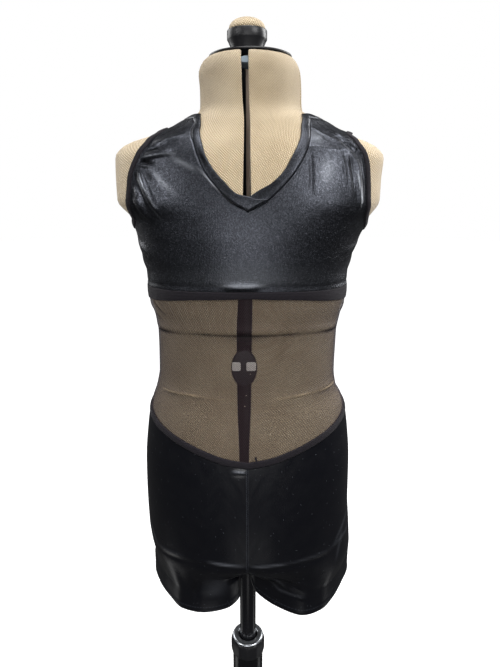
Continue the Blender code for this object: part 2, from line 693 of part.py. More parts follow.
def waist_dial(material):
    """The oval adjuster in the slot at the waist, its stem and its hub on the pole."""
    front = -float(section_value("front_depth", DIAL_CENTRE)) * MM + 1.4 * MM
    centre_x = float(smooth_column(FRONT_SLOT, 1, DIAL_CENTRE)) * MM
    plate = oval_plate(
        "waist_dial", (centre_x, DIAL_CENTRE), DIAL_HALF_WIDTH, DIAL_HALF_HEIGHT,
        front, front + 4 * MM, material,
    )
    hole = POLE_RADIUS + GUIDE_CLEAR
    hub = turned(
        "dial_hub",
        ((hole, DIAL_CENTRE - 9 * MM), (HUB_RADIUS, DIAL_CENTRE - 9 * MM),
         (HUB_RADIUS, DIAL_CENTRE + 9 * MM), (hole, DIAL_CENTRE + 9 * MM)),
        material, 16, closed=True,
    )
    stem_radius = 4.5 * MM
    stem = oval_plate(
        "dial_stem", (centre_x * 0.5, DIAL_CENTRE), stem_radius, stem_radius,
        front + 2 * MM, -(hole + HUB_RADIUS) / 2, material, 12,
    )
    return join_solids(plate, [stem, hub])


def build_form(finishes):
    knit = finishes["form knit"]
    plastic = finishes["black plastic"]
    for front, place in ((True, "front"), (False, "back")):
        for side, hand in ((1, "left"), (-1, "right")):
            form_shell(f"form_{place}_{hand}", side, front, knit)
    spider("hip_spider", HIP_SPIDER_HEIGHT, plastic)
    spider("chest_spider", CHEST_SPIDER_HEIGHT, plastic)
    waist_dial(plastic)
    cap_top = CAP_LOW + CAP_THICK
    cap = turned(
        "neck_cap",
        ((0, CAP_LOW), (CAP_RADIUS - 0.6 * MM, CAP_LOW), (CAP_RADIUS, CAP_LOW + 0.6 * MM),
         (CAP_RADIUS, cap_top - 0.6 * MM), (CAP_RADIUS - 0.8 * MM, cap_top), (0, cap_top)),
        plastic, 32,
    )
    cap.location.x = CAP_SHIFT
    seat = cap_top + SEAM_GAP
    turned(
        "neck_knob",
        ((0, seat), (14.5 * MM, seat), (15.5 * MM, seat + 4 * MM), (17.5 * MM, seat + 9 * MM),
         (19.6 * MM, seat + 13.5 * MM), (20.6 * MM, seat + 15 * MM), (20.6 * MM, seat + 22.5 * MM),
         (19.8 * MM, seat + 23.5 * MM), (0, seat + 23.5 * MM)),
        plastic, 24,
    )
    low = seat + 23.8 * MM
    turned(
        "knob_cushion",
        ((0, low), (18.6 * MM, low), (18.8 * MM, low + 1.5 * MM), (17.6 * MM, low + 5 * MM),
         (14.6 * MM, low + 8.2 * MM), (9.5 * MM, low + 10.4 * MM), (0, low + 11.4 * MM)),
        knit, 20,
    )


# ---------------------------------------------------------------- the stand
def leg(name, bearing, material):
    """A tapered bar from the base hub out to a foot."""
    root, tip = BASE_RADIUS + SEAM_GAP, LEG_REACH
    half = LEG_WIDTH / 2
    ends = ((root, LEG_ROOT_LOW, LEG_ROOT_TOP), (tip, LEG_TIP_LOW, LEG_TIP_TOP))
    # The last stretch is level, so that the foot meets it face to face.
    flat = tip - 2 * FOOT_RADIUS - 4 * MM
    ends = (ends[0], (flat, LEG_TIP_LOW, LEG_TIP_TOP + 4 * MM), ends[1])
    along, across = (math.cos(bearing), math.sin(bearing)), (-math.sin(bearing), math.cos(bearing))
    points = []
    for distance, low, high in ends:
        for side, z in ((-half, low), (half, low), (half, high), (-half, high)):
            x = along[0] * distance + across[0] * side
            points.append((x, along[1] * distance + across[1] * side, z))
    faces = [[3, 2, 1, 0], [8, 9, 10, 11]]
    faces += [[4 * k + i, 4 * k + (i + 1) % 4, 4 * k + 4 + (i + 1) % 4, 4 * k + 4 + i]
              for k in range(2) for i in range(4)]
    made = add_object(name, points, faces, material, 30.0)
    bevel = made.modifiers.new("edge", "BEVEL")
    bevel.width = 2.0 * MM
    bevel.segments = 1
    bevel.limit_method = "ANGLE"
    return made


def foot(name, bearing, material):
    distance = LEG_REACH - FOOT_RADIUS - 2 * MM
    made = turned(name, ((0, 0), (FOOT_RADIUS - 1.5 * MM, 0), (FOOT_RADIUS, 1.5 * MM),
                         (FOOT_RADIUS - 1 * MM, FOOT_HEIGHT), (0, FOOT_HEIGHT)), material, 12)
    made.location = (distance * math.cos(bearing), distance * math.sin(bearing), 0)
    return made


def build_stand(finishes):
    plastic = finishes["black plastic"]
    steel = finishes["black painted steel"]
    guide = TUBE_RADIUS - TUBE_WALL - GUIDE_CLEAR
    turned(
        "pole",
        ((0, POLE_FOOT), (guide, POLE_FOOT), (guide, POLE_FOOT + 20 * MM),
         (POLE_RADIUS, POLE_FOOT + 22 * MM), (POLE_RADIUS, POLE_TOP - 1 * MM),
         (POLE_RADIUS - 1 * MM, POLE_TOP), (0, POLE_TOP)),
        steel, 24,
    )
    stop_top = HIP_SPIDER_HEIGHT - SPIDER_THICK / 2 - SEAM_GAP
    stop_low = stop_top - STOP_COLLAR_HEIGHT
    hole = POLE_RADIUS + GUIDE_CLEAR
    turned(
        "stop_collar",
        ((hole, stop_low), (STOP_COLLAR_RADIUS, stop_low), (STOP_COLLAR_RADIUS, stop_top),
         (hole, stop_top)),
        plastic, 16, closed=True,
    )
    bore = TUBE_RADIUS - TUBE_WALL
    turned(
        "outer_tube",
        ((bore, TUBE_FOOT), (TUBE_RADIUS, TUBE_FOOT), (TUBE_RADIUS, TUBE_TOP), (bore, TUBE_TOP)),
        steel, 24, closed=True,
    )
    low = TUBE_TOP + SEAM_GAP
    turned(
        "lock_collar",
        ((hole, low), (COLLAR_RADIUS - 1.4 * MM, low), (COLLAR_RADIUS, low + 1.4 * MM),
         (COLLAR_RADIUS, COLLAR_TOP - 3 * MM), (COLLAR_RADIUS - 1.5 * MM, COLLAR_TOP),
         (hole, COLLAR_TOP)),
        plastic, COLLAR_SIDES * 2, closed=True, sharp=10.0,
    )
    ring_low = COLLAR_TOP + SEAM_GAP
    turned(
        "lock_ring",
        ((RING_HOLE, ring_low), (TUBE_RADIUS, ring_low), (TUBE_RADIUS + 0.3 * MM, ring_low + 1 * MM),
         (TUBE_RADIUS - 2 * MM, RING_TOP), (RING_HOLE + 1.2 * MM, RING_TOP)),
        finishes["chrome"], 28, closed=True,
    )
    inside = TUBE_RADIUS + SEAM_GAP
    turned(
        "base_hub",
        ((0, BASE_LOW), (BASE_RADIUS, BASE_LOW), (BASE_RADIUS, BASE_TOP - 6 * MM),
         (BASE_RADIUS - 6 * MM, BASE_TOP), (inside, BASE_TOP), (inside, TUBE_FOOT - SEAM_GAP),
         (0, TUBE_FOOT - SEAM_GAP)),
        plastic, 24,
    )
    for k in range(LEG_COUNT):
        bearing = math.pi / 4 + k * 2 * math.pi / LEG_COUNT
        leg(f"stand_leg_{k + 1}", bearing, steel)
        foot(f"foot_{k + 1}", bearing, finishes["rubber"])


# ---------------------------------------------------------------- the garment
def patch(inner_path, outer_path, columns, lean):
    """Angles and heights of a patch between two matching edge paths.

    lean above 1 crowds the columns towards the outer path.
    """
    share = 1 - (1 - np.linspace(0, 1, columns + 1)) ** lean
    share = share[None, :, None]
    return inner_path[:, None, :] * (1 - share) + outer_path[:, None, :] * share


def neck_table(side, front):
    """The neckline's rows from the centre out to the shoulder seam, angles signed."""
    if front:
        return np.array(NECK_LEFT if side > 0 else NECK_RIGHT)
    middle = len(NECK_BACK) // 2
    rows = np.array(NECK_BACK[: middle + 1][::-1] if side > 0 else NECK_BACK[middle:])
    if side < 0:
        rows[:, (0, 2)] -= 360.0
    return rows


def neck_start(side, front):
    """Angle and height of the neckline's lowest place, at the centre."""
    return neck_table(side, front)[0, :2]


def neckline(side, front, share):
    """Seam and free edge of the neckband at shares of the way to the shoulder seam."""
    return path_at(neck_table(side, front), share)


def bodice_half(side, front, rows_low, rows_high, columns):
    """One half of the front or back bodice as (angle, height), rows from hem to shoulder."""
    low = np.linspace(0, 1, rows_low + 1)
    high = np.linspace(0, 1, rows_high + 1)[1:]
    arm_front = ARMHOLE_LEFT_FRONT if side > 0 else ARMHOLE_RIGHT_FRONT
    arm_back = ARMHOLE_LEFT_BACK if side > 0 else ARMHOLE_RIGHT_BACK
    seam = side * 90.0 - side * 0.12 if front else side * 90.0 + side * 0.12
    neck = neckline(side, front, high)
    arm = arm_front if front else arm_back[::-1]
    centre = neck_start(side, front)
    hem_centre = underbust_edge(np.array([math.radians(centre[0])]), 1)[0] + SEAM_GAP
    hem_side = underbust_edge(np.array([math.pi / 2]), 1)[0] + SEAM_GAP
    inner = np.concatenate([
        np.stack([np.full(len(low), centre[0]), hem_centre + (centre[1] - hem_centre) * low], -1),
        neck[:, :2],
    ])
    outer = np.concatenate([
        np.stack([np.full(len(low), seam), hem_side + (arm[0][1] - hem_side) * low], -1),
        even_path([arm], high),
    ])
    net = patch(inner, outer, columns, 1.5)
    if not front:
        net[-1, :, 0] += side * SHOULDER_SEAM_TURN
    # The hem row follows the hem curve between its ends, and the rows above ease into it.
    hem = underbust_edge(np.radians(net[0, :, 0]), 1) + SEAM_GAP
    ease = np.clip(1 - np.arange(len(net)) / rows_low, 0, 1)[:, None]
    net[:, :, 1] += (hem - net[0, :, 1])[None, :] * ease
    return net


def underbust_edge(angle, column):
    turned_angle = np.degrees(np.abs((angle + math.pi) % (2 * math.pi) - math.pi))
    return smooth_column(UNDERBUST, column, turned_angle)


def waist_edge(angle):
    turned_angle = np.degrees(np.abs((angle + math.pi) % (2 * math.pi) - math.pi))
    return smooth_column(WAIST, 1, turned_angle)


def bodice(name, front, material, rows_low, rows_high, columns):
    """Front or back bodice: two mirrored nets welded along the centre below the neck."""
    folds = BODICE_FOLDS if front else BACK_FOLDS
    outers, inners, faces, start = [], [], [], 0
    for side in (1, -1):
        net = bodice_half(side, front, rows_low, rows_high, columns)
        angle, height = np.radians(net[..., 0]), net[..., 1]
        edge = np.ones(net.shape[:2])
        edge[:, -3:] = (0.15, 0.0, 0.0)
        turn = 0.0 if front or side > 0 else 2 * math.pi
        rise = fold_lift(folds, angle + turn, height) * edge
        rise[0] += 0.8 * MM
        rise = np.maximum(rise, -0.7 * CLOTH_WALL)
        outer = lifted(angle, height, CLOTH_CLEAR + CLOTH_WALL + rise)
        inner = lifted(angle, height, CLOTH_CLEAR)
        quads = grid_faces(*net.shape[:2]) + start
        start += outer[..., 0].size
        if (side < 0) == front:
            quads = quads[:, ::-1]
        outers.append(outer.reshape(-1, 3))
        inners.append(inner.reshape(-1, 3))
        faces.append(quads)
    joined = weld(np.concatenate(outers), np.concatenate(inners), np.concatenate(faces))
    return sheet_solid(name, *joined, material)


def strip(name, rows_a, rows_b, lift_low, lift_high, material, closed=False, crown=0.0):
    """A narrow strip between two edge curves (angle in degrees, height).

    The first edge is on the right as the curve runs, seen from outside. A crown
    raises the middle of the strip.
    """
    share = np.linspace(0, 1, 3)[None, :, None]
    net = rows_a[:, None, :] * (1 - share) + rows_b[:, None, :] * share
    angle, height = np.radians(net[..., 0]), net[..., 1]
    top = np.broadcast_to(np.reshape(lift_high, (-1, 1)), angle.shape) + crown * np.array([0, 1, 0])
    low = np.broadcast_to(np.reshape(lift_low, (-1, 1)), angle.shape)
    outer = lifted(angle, height, top).reshape(-1, 3)
    inner = lifted(angle, height, low).reshape(-1, 3)
    faces = grid_faces(*angle.shape)
    if closed:
        outer, inner, faces = close_rows(outer, inner, *angle.shape)
    return sheet_solid(name, outer, inner, faces, material)


def close_rows(outer, inner, rows, columns):
    """Drops the last row, which repeats the first, and joins the sheet round."""
    index = np.arange(rows * columns).reshape(rows, columns) % ((rows - 1) * columns)
    faces = np.stack([index[:-1, :-1], index[:-1, 1:], index[1:, 1:], index[1:, :-1]], -1)
    kept = (rows - 1) * columns
    return outer[:kept], inner[:kept], faces.reshape(-1, 4)


def neckband(material):
    """The crossover neckband: it starts under the front point, runs round the neck
    from the wearer's left to the right, and its last end lies over the first."""
    out_front = np.linspace(0, 1, FRONT_ROWS_HIGH + 1)
    out_back = np.linspace(0, 1, BACK_ROWS_HIGH + 1)
    left = neckline(1, True, out_front)
    back_left = neckline(1, False, out_back[::-1])[1:]
    back_right = neckline(-1, False, out_back)[1:]
    right = neckline(-1, True, out_front[::-1])[1:]
    back_right[:, (0, 2)] += 360.0
    right[:, (0, 2)] += 360.0
    rows = np.concatenate([NECK_UNDER_END, left, back_left, back_right, right, NECK_OVER_END])
    # The seam edge stays a seam gap clear of the bodice's own edge.
    toward = body(np.radians(rows[:, 2]), rows[:, 3]) - body(np.radians(rows[:, 0]), rows[:, 1])
    pull = (1.3 * SEAM_GAP / np.linalg.norm(toward, axis=1))[:, None]
    seam = rows[:, :2] * (1 - pull) + rows[:, 2:] * pull
    low = np.full(len(rows), CLOTH_CLEAR)
    over = np.concatenate([np.linspace(0, 1, 5)[1:], np.ones(1 + len(NECK_OVER_END))])
    low[-len(over):] += over * (CLOTH_WALL + 0.6 * MM)
    return strip("neckband", rows[:, 2:], seam, low, low + CLOTH_WALL, material, crown=0.3 * MM)


def binding(name, side, front_table, back_table, material, steps=38):
    """The elastic binding round an armhole, lying on the panels' edges."""
    share = np.linspace(0, 1, steps + 1)
    path = even_path([front_table, back_table], share)
    angle, height = np.radians(path[:, 0]), path[:, 1]
    here = body(angle, height)
    up = body_normal(angle, height)
    ahead = np.roll(here[:-1], -1, axis=0) - np.roll(here[:-1], 1, axis=0)
    ahead = np.concatenate([ahead, ahead[:1]])
    ahead /= np.linalg.norm(ahead, axis=1, keepdims=True)
    inward = np.cross(ahead, up) * side
    widths = np.array([-BINDING_OVERHANG, BINDING_WIDTH * 0.5, BINDING_WIDTH])
    base = here[:, None, :] + inward[:, None, :] * widths[None, :, None]
    crown = np.array([0.0, 0.25 * MM, 0.0])[None, :, None]
    outer = base + up[:, None, :] * (TRIM_LIFT + TRIM_WALL + crown)
    inner = base + up[:, None, :] * TRIM_LIFT
    joined = close_rows(outer.reshape(-1, 3), inner.reshape(-1, 3), steps + 1, 3)
    faces = joined[2] if side > 0 else joined[2][:, ::-1]
    return sheet_solid(name, joined[0], joined[1], faces, material)


def ring_band(name, low_edge, high_edge, steps, wall, material):
    """A band right round the body between two height curves."""
    angle = np.linspace(-math.pi, math.pi, steps + 1)
    degrees = np.degrees(angle)
    low = np.stack([degrees, low_edge(angle)], -1)
    high = np.stack([degrees, high_edge(angle)], -1)
    top = CLOTH_CLEAR + wall
    return strip(name, high, low, CLOTH_CLEAR, top, material, closed=True, crown=0.3 * MM)


def midriff(name, front, material, columns, rows):
    """The sheer middle panel, from the underbust band to the waist band."""
    start, end = (-90.0, 90.0) if front else (90.0, 270.0)
    angle = np.radians(np.linspace(start + 0.12, end - 0.12, columns + 1))[None, :]
    top = underbust_edge(angle, 2) - SEAM_GAP
    low = waist_edge(angle) + WAIST_BAND_WIDTH + SEAM_GAP
    share = np.linspace(0, 1, rows + 1)[:, None]
    height = low + (top - low) * share
    angle = np.broadcast_to(angle, height.shape)
    rise = fold_lift(MIDRIFF_FOLDS, angle, height)
    rise[(0, -1), :] = 0.0
    rise[:, (0, -1)] = 0.0
    outer = lifted(angle, height, CLOTH_CLEAR + CLOTH_WALL + rise).reshape(-1, 3)
    inner = lifted(angle, height, CLOTH_CLEAR).reshape(-1, 3)
    return sheet_solid(name, outer, inner, grid_faces(*height.shape), material)


def leg_value(side, name, share):
    """A column of the leg's table at shares of the way round, in metres."""
    table = LEFT_LEG if side > 0 else RIGHT_LEG
    found = smooth_column(table, LEG_COLUMNS.index(name), share)
    return found if name == "hem" else found * MM


def seam_x(y):
    return smooth_column(SEAM_PLAN, 1, np.asarray(y) / MM) * MM


def shorts_rows(side, share):
    """Points of one half's inner face, in rows from the waist to the hem.

    It also gives how far each point's wall faces down instead of outwards.
    """
    turn = math.pi * share
    angle = side * turn
    waist = waist_edge(angle) - SEAM_GAP
    start = np.where(share < 0.5, CROTCH_START_FRONT, CROTCH_START_BACK)
    turning = TURN_UNDER_SIDE + (start - TURN_UNDER_SIDE) * np.cos(turn) ** 2
    rows = [lifted(angle, waist + (turning - waist) * step, CLOTH_CLEAR) for step in TRUNK_STEPS]
    down = [np.zeros(len(share)) for _ in TRUNK_STEPS]
    torso = rows[-1][:, :2]
    loop = np.stack([leg_value(side, "x", share), leg_value(side, "y", share)], -1)
    hem = leg_value(side, "hem", share)
    near_end = np.abs(np.cos(turn)) ** 6
    dip = RIM_DIP_LEFT if side > 0 else RIM_DIP_RIGHT
    for bend in BEND_STEPS:
        swing = bend * math.pi / 2
        mix = 1 - math.cos(swing)
        plan = torso * (1 - mix) + loop * mix
        # The straight way to the inseam is bent onto the seam's own line.
        straight = loop[0, 0] * np.clip(1 - np.abs(plan[:, 1] / torso[0, 1]), 0, 1)
        wall = side * 1.5 * MM * mix
        plan[:, 0] += (seam_x(plan[:, 1]) + wall - straight) * near_end**4
        plan[:, 0] -= side * dip * math.sin(math.pi * bend) * np.sin(turn) ** 4
        low = turning - (turning - CROTCH_LOW) * math.sin(swing)
        outside = turning + (LEG_START - turning) * bend
        rows.append(np.column_stack([plan, outside + (low - outside) * near_end]))
        down.append(near_end * math.sin(swing) * (0.5 if bend == 1.0 else 1.0))
    last = rows[-1][:, 2]
    for step in HEM_STEPS:
        rows.append(np.column_stack([loop, last + (hem - last) * step]))
        down.append(np.zeros(len(share)))
    return np.array(rows), np.array(down)


def shorts_faces(side, share):
    """Inner and outer points of one half, the inseam's two edges made one."""
    inner, down = shorts_rows(side, share)
    trunk, bent = len(TRUNK_STEPS), len(TRUNK_STEPS) + len(BEND_STEPS)
    inner[:trunk, (0, -1), 0] = side * SEAM_GAP / 2
    along = np.gradient(inner[..., :2], axis=1)
    level = np.stack([along[..., 1] * side, -along[..., 0] * side], -1)
    level /= np.maximum(np.linalg.norm(level, axis=-1, keepdims=True), 1e-9)
    normal = np.concatenate([level * (1 - down[..., None]), -down[..., None]], -1)
    normal /= np.linalg.norm(normal, axis=-1, keepdims=True)
    thick = np.full(inner.shape[:2], CLOTH_WALL)
    thick[-1, 2:-2] += HEM_ROLL
    outer = inner + normal * thick[..., None]
    for points in (inner, outer):
        points[bent - 1:, (0, -1)] = points[bent - 1:, (0, -1)].mean(axis=1, keepdims=True)
        limit = seam_x(points[..., 1]) + side * SEAM_GAP * 0.6
        keep = np.maximum if side > 0 else np.minimum
        points[trunk:, :, 0] = keep(points[trunk:, :, 0], limit[trunk:])
    return inner, outer


def shorts(name, side, material):
    share = np.linspace(0, 1, SHORTS_COLUMNS + 1)
    inner, outer = shorts_faces(side, share)
    faces = grid_faces(*inner.shape[:2])
    if side > 0:
        faces = faces[:, ::-1]
    joined = weld(outer.reshape(-1, 3), inner.reshape(-1, 3), faces)
    return sheet_solid(name, *joined, material)


def build_garment(finishes):
    metallic = finishes["metallic spandex"]
    elastic = finishes["matte elastic"]
    mesh = finishes["power mesh"]
    spandex = finishes["black spandex"]
    bodice("bodice_front", True, metallic, FRONT_ROWS_LOW, FRONT_ROWS_HIGH, 12)
    bodice("bodice_back", False, metallic, BACK_ROWS_LOW, BACK_ROWS_HIGH, 9)
    neckband(metallic)
    binding("armhole_binding_left", 1, ARMHOLE_LEFT_FRONT, ARMHOLE_LEFT_BACK, elastic)
    binding("armhole_binding_right", -1, ARMHOLE_RIGHT_FRONT, ARMHOLE_RIGHT_BACK, elastic)
    ring_band(
        "underbust_band", lambda a: underbust_edge(a, 2), lambda a: underbust_edge(a, 1), 40,
        BAND_WALL, elastic,
    )
    midriff("midriff_front", True, mesh, 16, 14)
    midriff("midriff_back", False, mesh, 14, 10)
    ring_band(
        "waist_band", waist_edge, lambda a: waist_edge(a) + WAIST_BAND_WIDTH, 40,
        BAND_WALL, elastic,
    )
    shorts("shorts_left", 1, spandex)
    shorts("shorts_right", -1, spandex)


def main():
    clear_scene()
    finishes = {
        "form knit": finish("form knit", (222, 198, 160), 0.9),
        "black plastic": finish("black plastic", (22, 22, 24), 0.4),
        "black painted steel": finish("black painted steel", (20, 20, 22), 0.25, 0.3),
        "chrome": finish("chrome", (190, 195, 200), 0.15, 1.0),
        "rubber": finish("rubber", (25, 25, 26), 0.85),
        "metallic spandex": finish("metallic spandex", (36, 39, 46), 0.32, 0.4),
        "matte elastic": finish("matte elastic", (38, 37, 40), 0.85),
        "power mesh": finish("power mesh", (98, 84, 70), 0.7),
        "black spandex": finish("black spandex", (15, 16, 20), 0.35),
    }
    build_form(finishes)
    build_stand(finishes)
    build_garment(finishes)


main()
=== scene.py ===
"""Visual model of a child's dance shortall on an adjustable dress form and stand.

Metres, +Z up; the front faces -Y and the wearer's left is +X. Every soft piece is
a patch of the form's own surface, addressed by an angle from the front centre and
a height, lifted off it along the surface normal and given its folds as soft
ridges and troughs. Worked-out surfaces are numpy arrays from end to end.
"""

import json
import logging
import math
from collections.abc import Callable, Iterable
from dataclasses import dataclass, field
from enum import Enum

import bpy
import numpy as np
from mathutils import Euler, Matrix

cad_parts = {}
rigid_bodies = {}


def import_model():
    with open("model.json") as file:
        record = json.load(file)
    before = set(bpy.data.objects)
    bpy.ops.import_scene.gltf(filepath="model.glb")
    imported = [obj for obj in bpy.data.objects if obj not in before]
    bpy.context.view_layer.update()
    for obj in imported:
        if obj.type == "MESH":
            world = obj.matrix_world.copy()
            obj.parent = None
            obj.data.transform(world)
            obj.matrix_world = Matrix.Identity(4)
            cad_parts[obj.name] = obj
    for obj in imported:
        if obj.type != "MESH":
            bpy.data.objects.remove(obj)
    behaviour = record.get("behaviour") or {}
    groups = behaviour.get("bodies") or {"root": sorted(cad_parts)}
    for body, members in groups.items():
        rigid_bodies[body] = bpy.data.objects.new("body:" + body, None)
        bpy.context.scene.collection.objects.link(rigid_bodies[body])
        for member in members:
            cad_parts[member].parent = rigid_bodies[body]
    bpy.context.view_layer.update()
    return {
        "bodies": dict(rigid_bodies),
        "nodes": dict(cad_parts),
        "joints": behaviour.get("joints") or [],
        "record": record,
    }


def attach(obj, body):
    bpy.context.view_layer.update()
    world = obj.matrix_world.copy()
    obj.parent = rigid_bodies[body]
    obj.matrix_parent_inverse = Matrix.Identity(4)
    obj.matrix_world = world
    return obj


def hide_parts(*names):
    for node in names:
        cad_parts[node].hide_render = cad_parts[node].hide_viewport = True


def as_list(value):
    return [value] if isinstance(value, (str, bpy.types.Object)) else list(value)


LOG = logging.getLogger("shortall")
MM = 0.001
WHITE = (1.0, 1.0, 1.0, 1.0)
Array = np.ndarray
Obj = bpy.types.Object
Material = bpy.types.Material
Tree = bpy.types.NodeTree
Node = bpy.types.Node
Socket = bpy.types.NodeSocket
Edge = Callable[[Array], Array]

# ---------------------------------------------------------------- form, in mm by height
SECTION_COLUMNS = ("height", "left_width", "right_width", "front_depth", "back_depth", "squareness")
SECTIONS = (
    (0.56, 122, 122, 94, 98, 2.15), (0.6, 131, 119, 95, 100, 2.15), (0.64, 129.6, 121.5, 97, 103, 2.15),
    (0.668, 127.6, 124.2, 97.6, 104.8, 2.15), (0.7, 124.8, 124.6, 98, 106, 2.15),
    (0.754, 123.6, 123.6, 95, 101, 2.15), (0.798, 119.2, 119.2, 90, 91, 2.15),
    (0.829, 113.2, 113.2, 85, 82, 2.15), (0.846, 104.6, 107.2, 82, 78, 2.15),
    (0.868, 101.3, 103, 80, 76, 2.15), (0.915, 101.9, 102, 81, 77, 2.15),
    (0.936, 105.2, 104.9, 84, 80, 2.15), (0.955, 109.9, 110.2, 87, 83, 2.15),
    (0.985, 110.6, 111, 90, 86, 2.15), (1.005, 115.1, 115.4, 91, 88, 2.15),
    (1.022, 121.4, 118.9, 91, 88, 2.15), (1.04, 131.5, 125.2, 90, 88, 2.15),
    (1.06, 144.7, 141.8, 87, 86, 2.15), (1.082, 145.1, 142.1, 82, 83, 2.15),
    (1.104, 146.8, 141.7, 75, 79, 2.1), (1.1165, 135.6, 130.4, 69, 74, 2.05),
    (1.1235, 116.6, 109.6, 65, 70, 2), (1.13, 98, 85.2, 61, 66, 2), (1.137, 85, 71, 58, 61, 2),
    (1.1435, 69.5, 58, 54.5, 57, 2), (1.15, 58.5, 50.5, 51.5, 53, 2), (1.157, 57.2, 49.4, 50.5, 51, 2),
    (1.17, 56.8, 49.4, 50, 50, 2), (1.186, 55.4, 50.4, 50, 50, 2), (1.195, 52, 47.4, 48.5, 48.5, 2),
    (1.201, 47, 40.6, 44, 44, 2),
)
SECTION = {name: i for i, name in enumerate(SECTION_COLUMNS)}
FORM_TOP = 1.2010
RIM_SIDE = 0.650
RIM_RISE_FRONT = 0.016
RIM_RISE_BACK = 0.010
# Height, the slot's centre x and half its width.
FRONT_SLOT = (
    (0.64, -3, 4.2), (0.79, -3.4, 5.2), (0.855, -3.3, 7.4), (0.925, -3, 7.9), (0.965, -1.8, 7.2),
    (1.02, -0.4, 5), (1.07, 0, 3.8), (1.1355, 0.1, 2.9), (1.159, -1.4, 3.4), (1.203, -2.4, 3.8),
)
DIAL_CENTRE = 0.890
NOTCH_HALF_HEIGHT = 21.0 * MM
NOTCH_HALF_WIDTH = 13.7 * MM
# Height, and the y of the gap between front and back shells on the left and right.
SIDE_SLOT = (
    (0.64, 0, 0), (1.12, 0, 0), (1.15, -10, 0), (1.203, -12, 0),
)

# ---------------------------------------------------------------- cloth layers
CLOTH_CLEAR = 1.3 * MM
CLOTH_WALL = 1.2 * MM
SEAM_GAP = 0.3 * MM
TRIM_LIFT = CLOTH_CLEAR + CLOTH_WALL + 0.8 * MM
BAND_WALL = 1.8 * MM
# Angles become lengths in the flat cloth at this radius.
FLAT_RADIUS = 0.105

# Neckline rows: the seam's angle and height, then the free edge's angle and height.
NECK_RIGHT = (
    (1, 1.0508, 1.6, 1.064), (-10, 1.0599, -5.8, 1.0665), (-19.5, 1.0736, -14.8, 1.0785),
    (-27, 1.0869, -21.8, 1.0893), (-32.7, 1.1014, -27.6, 1.1012), (-37.5, 1.1134, -32, 1.1128),
    (-44.3, 1.1254, -38.5, 1.1262), (-48.8, 1.1335, -43.8, 1.1357), (-56, 1.1385, -51.5, 1.1425),
)
NECK_LEFT = (
    (1, 1.0508, 1.6, 1.064), (10.8, 1.0582, 7.5, 1.07), (18.8, 1.0681, 14.3, 1.0753),
    (28.7, 1.0835, 22.8, 1.086), (37.5, 1.1014, 30.5, 1.1018), (44, 1.1169, 38, 1.1165),
    (50, 1.1272, 44.5, 1.1285), (54.5, 1.1335, 49.5, 1.1362), (59, 1.1385, 55, 1.142),
)
NECK_UNDER_END = ((-9.0, 1.0606, -6.0, 1.0630), (-4.0, 1.0558, -3.0, 1.0652))
NECK_OVER_END = ((366.5, 1.0555, 366.0, 1.0618), (373.0, 1.0608, 372.5, 1.0618))
NECK_BACK = (
    (59, 1.1385, 55, 1.142), (72, 1.1385, 69, 1.1438), (90, 1.138, 90, 1.144), (110, 1.1355, 110, 1.1425),
    (135, 1.131, 135, 1.14), (180, 1.126, 180, 1.135), (225, 1.131, 225, 1.14), (250, 1.1355, 250, 1.1425),
    (270, 1.138, 270, 1.1438), (289, 1.1388, 292, 1.1436), (304, 1.1385, 308.5, 1.1425),
)
# Armhole and elastic rows: angle from the front centre in degrees, then heights.
ARMHOLE_RIGHT_FRONT = (
    (-90, 1.03), (-81, 1.032), (-74, 1.037), (-68.8, 1.0455), (-66, 1.057), (-65.4, 1.0702), (-65.2, 1.082),
    (-64.1, 1.0933), (-62.6, 1.105), (-61.8, 1.111),
)
ARMHOLE_RIGHT_BACK = (
    (-61.8, 1.111), (-62.5, 1.12), (-67, 1.1262), (-76, 1.1296), (-90, 1.1302), (-104, 1.1272),
    (-112, 1.118), (-115.5, 1.104), (-115, 1.086), (-113, 1.066), (-108, 1.048), (-100, 1.036), (-90, 1.03),
)
ARMHOLE_LEFT_FRONT = (
    (90, 1.029), (82, 1.031), (76, 1.035), (71.5, 1.0415), (67.8, 1.05), (66.2, 1.062), (66.6, 1.079),
    (66.8, 1.095), (66.2, 1.1085), (66.3, 1.1125),
)
ARMHOLE_LEFT_BACK = (
    (66.3, 1.1125), (68, 1.1195), (73, 1.1243), (81, 1.1266), (90, 1.127), (103, 1.1243), (111, 1.116),
    (114.5, 1.103), (114.5, 1.085), (112.5, 1.066), (108, 1.048), (100, 1.0355), (90, 1.029),
)
BINDING_WIDTH = 5.5 * MM
UNDERBUST = (
    (0, 0.9742, 0.9668), (30, 0.9731, 0.9643), (55, 0.9714, 0.9592), (72, 0.9706, 0.956), (90, 0.97, 0.9545),
    (135, 0.97, 0.9555), (180, 0.97, 0.956),
)
WAIST = (
    (0, 0.7805), (14, 0.7838), (29, 0.7905), (45, 0.799), (62, 0.808), (73, 0.8135), (90, 0.818),
    (135, 0.822), (180, 0.822),
)
WAIST_BAND_WIDTH = 7.0 * MM
# Rows across the binding's wrapped edge: how far in and how high, outside and inside.
BINDING_WRAP = (
    (-0.55, 0.3, -0.25, 0.3), (-0.62, 1.2, -0.25, 1.2), (-0.6, 2, -0.2, 2), (-0.5, 2.75, -0.1, 2.5),
    (-0.25, 3.3, 0.1, 2.65), (0.15, 3.55, 0.5, 2.65),
)

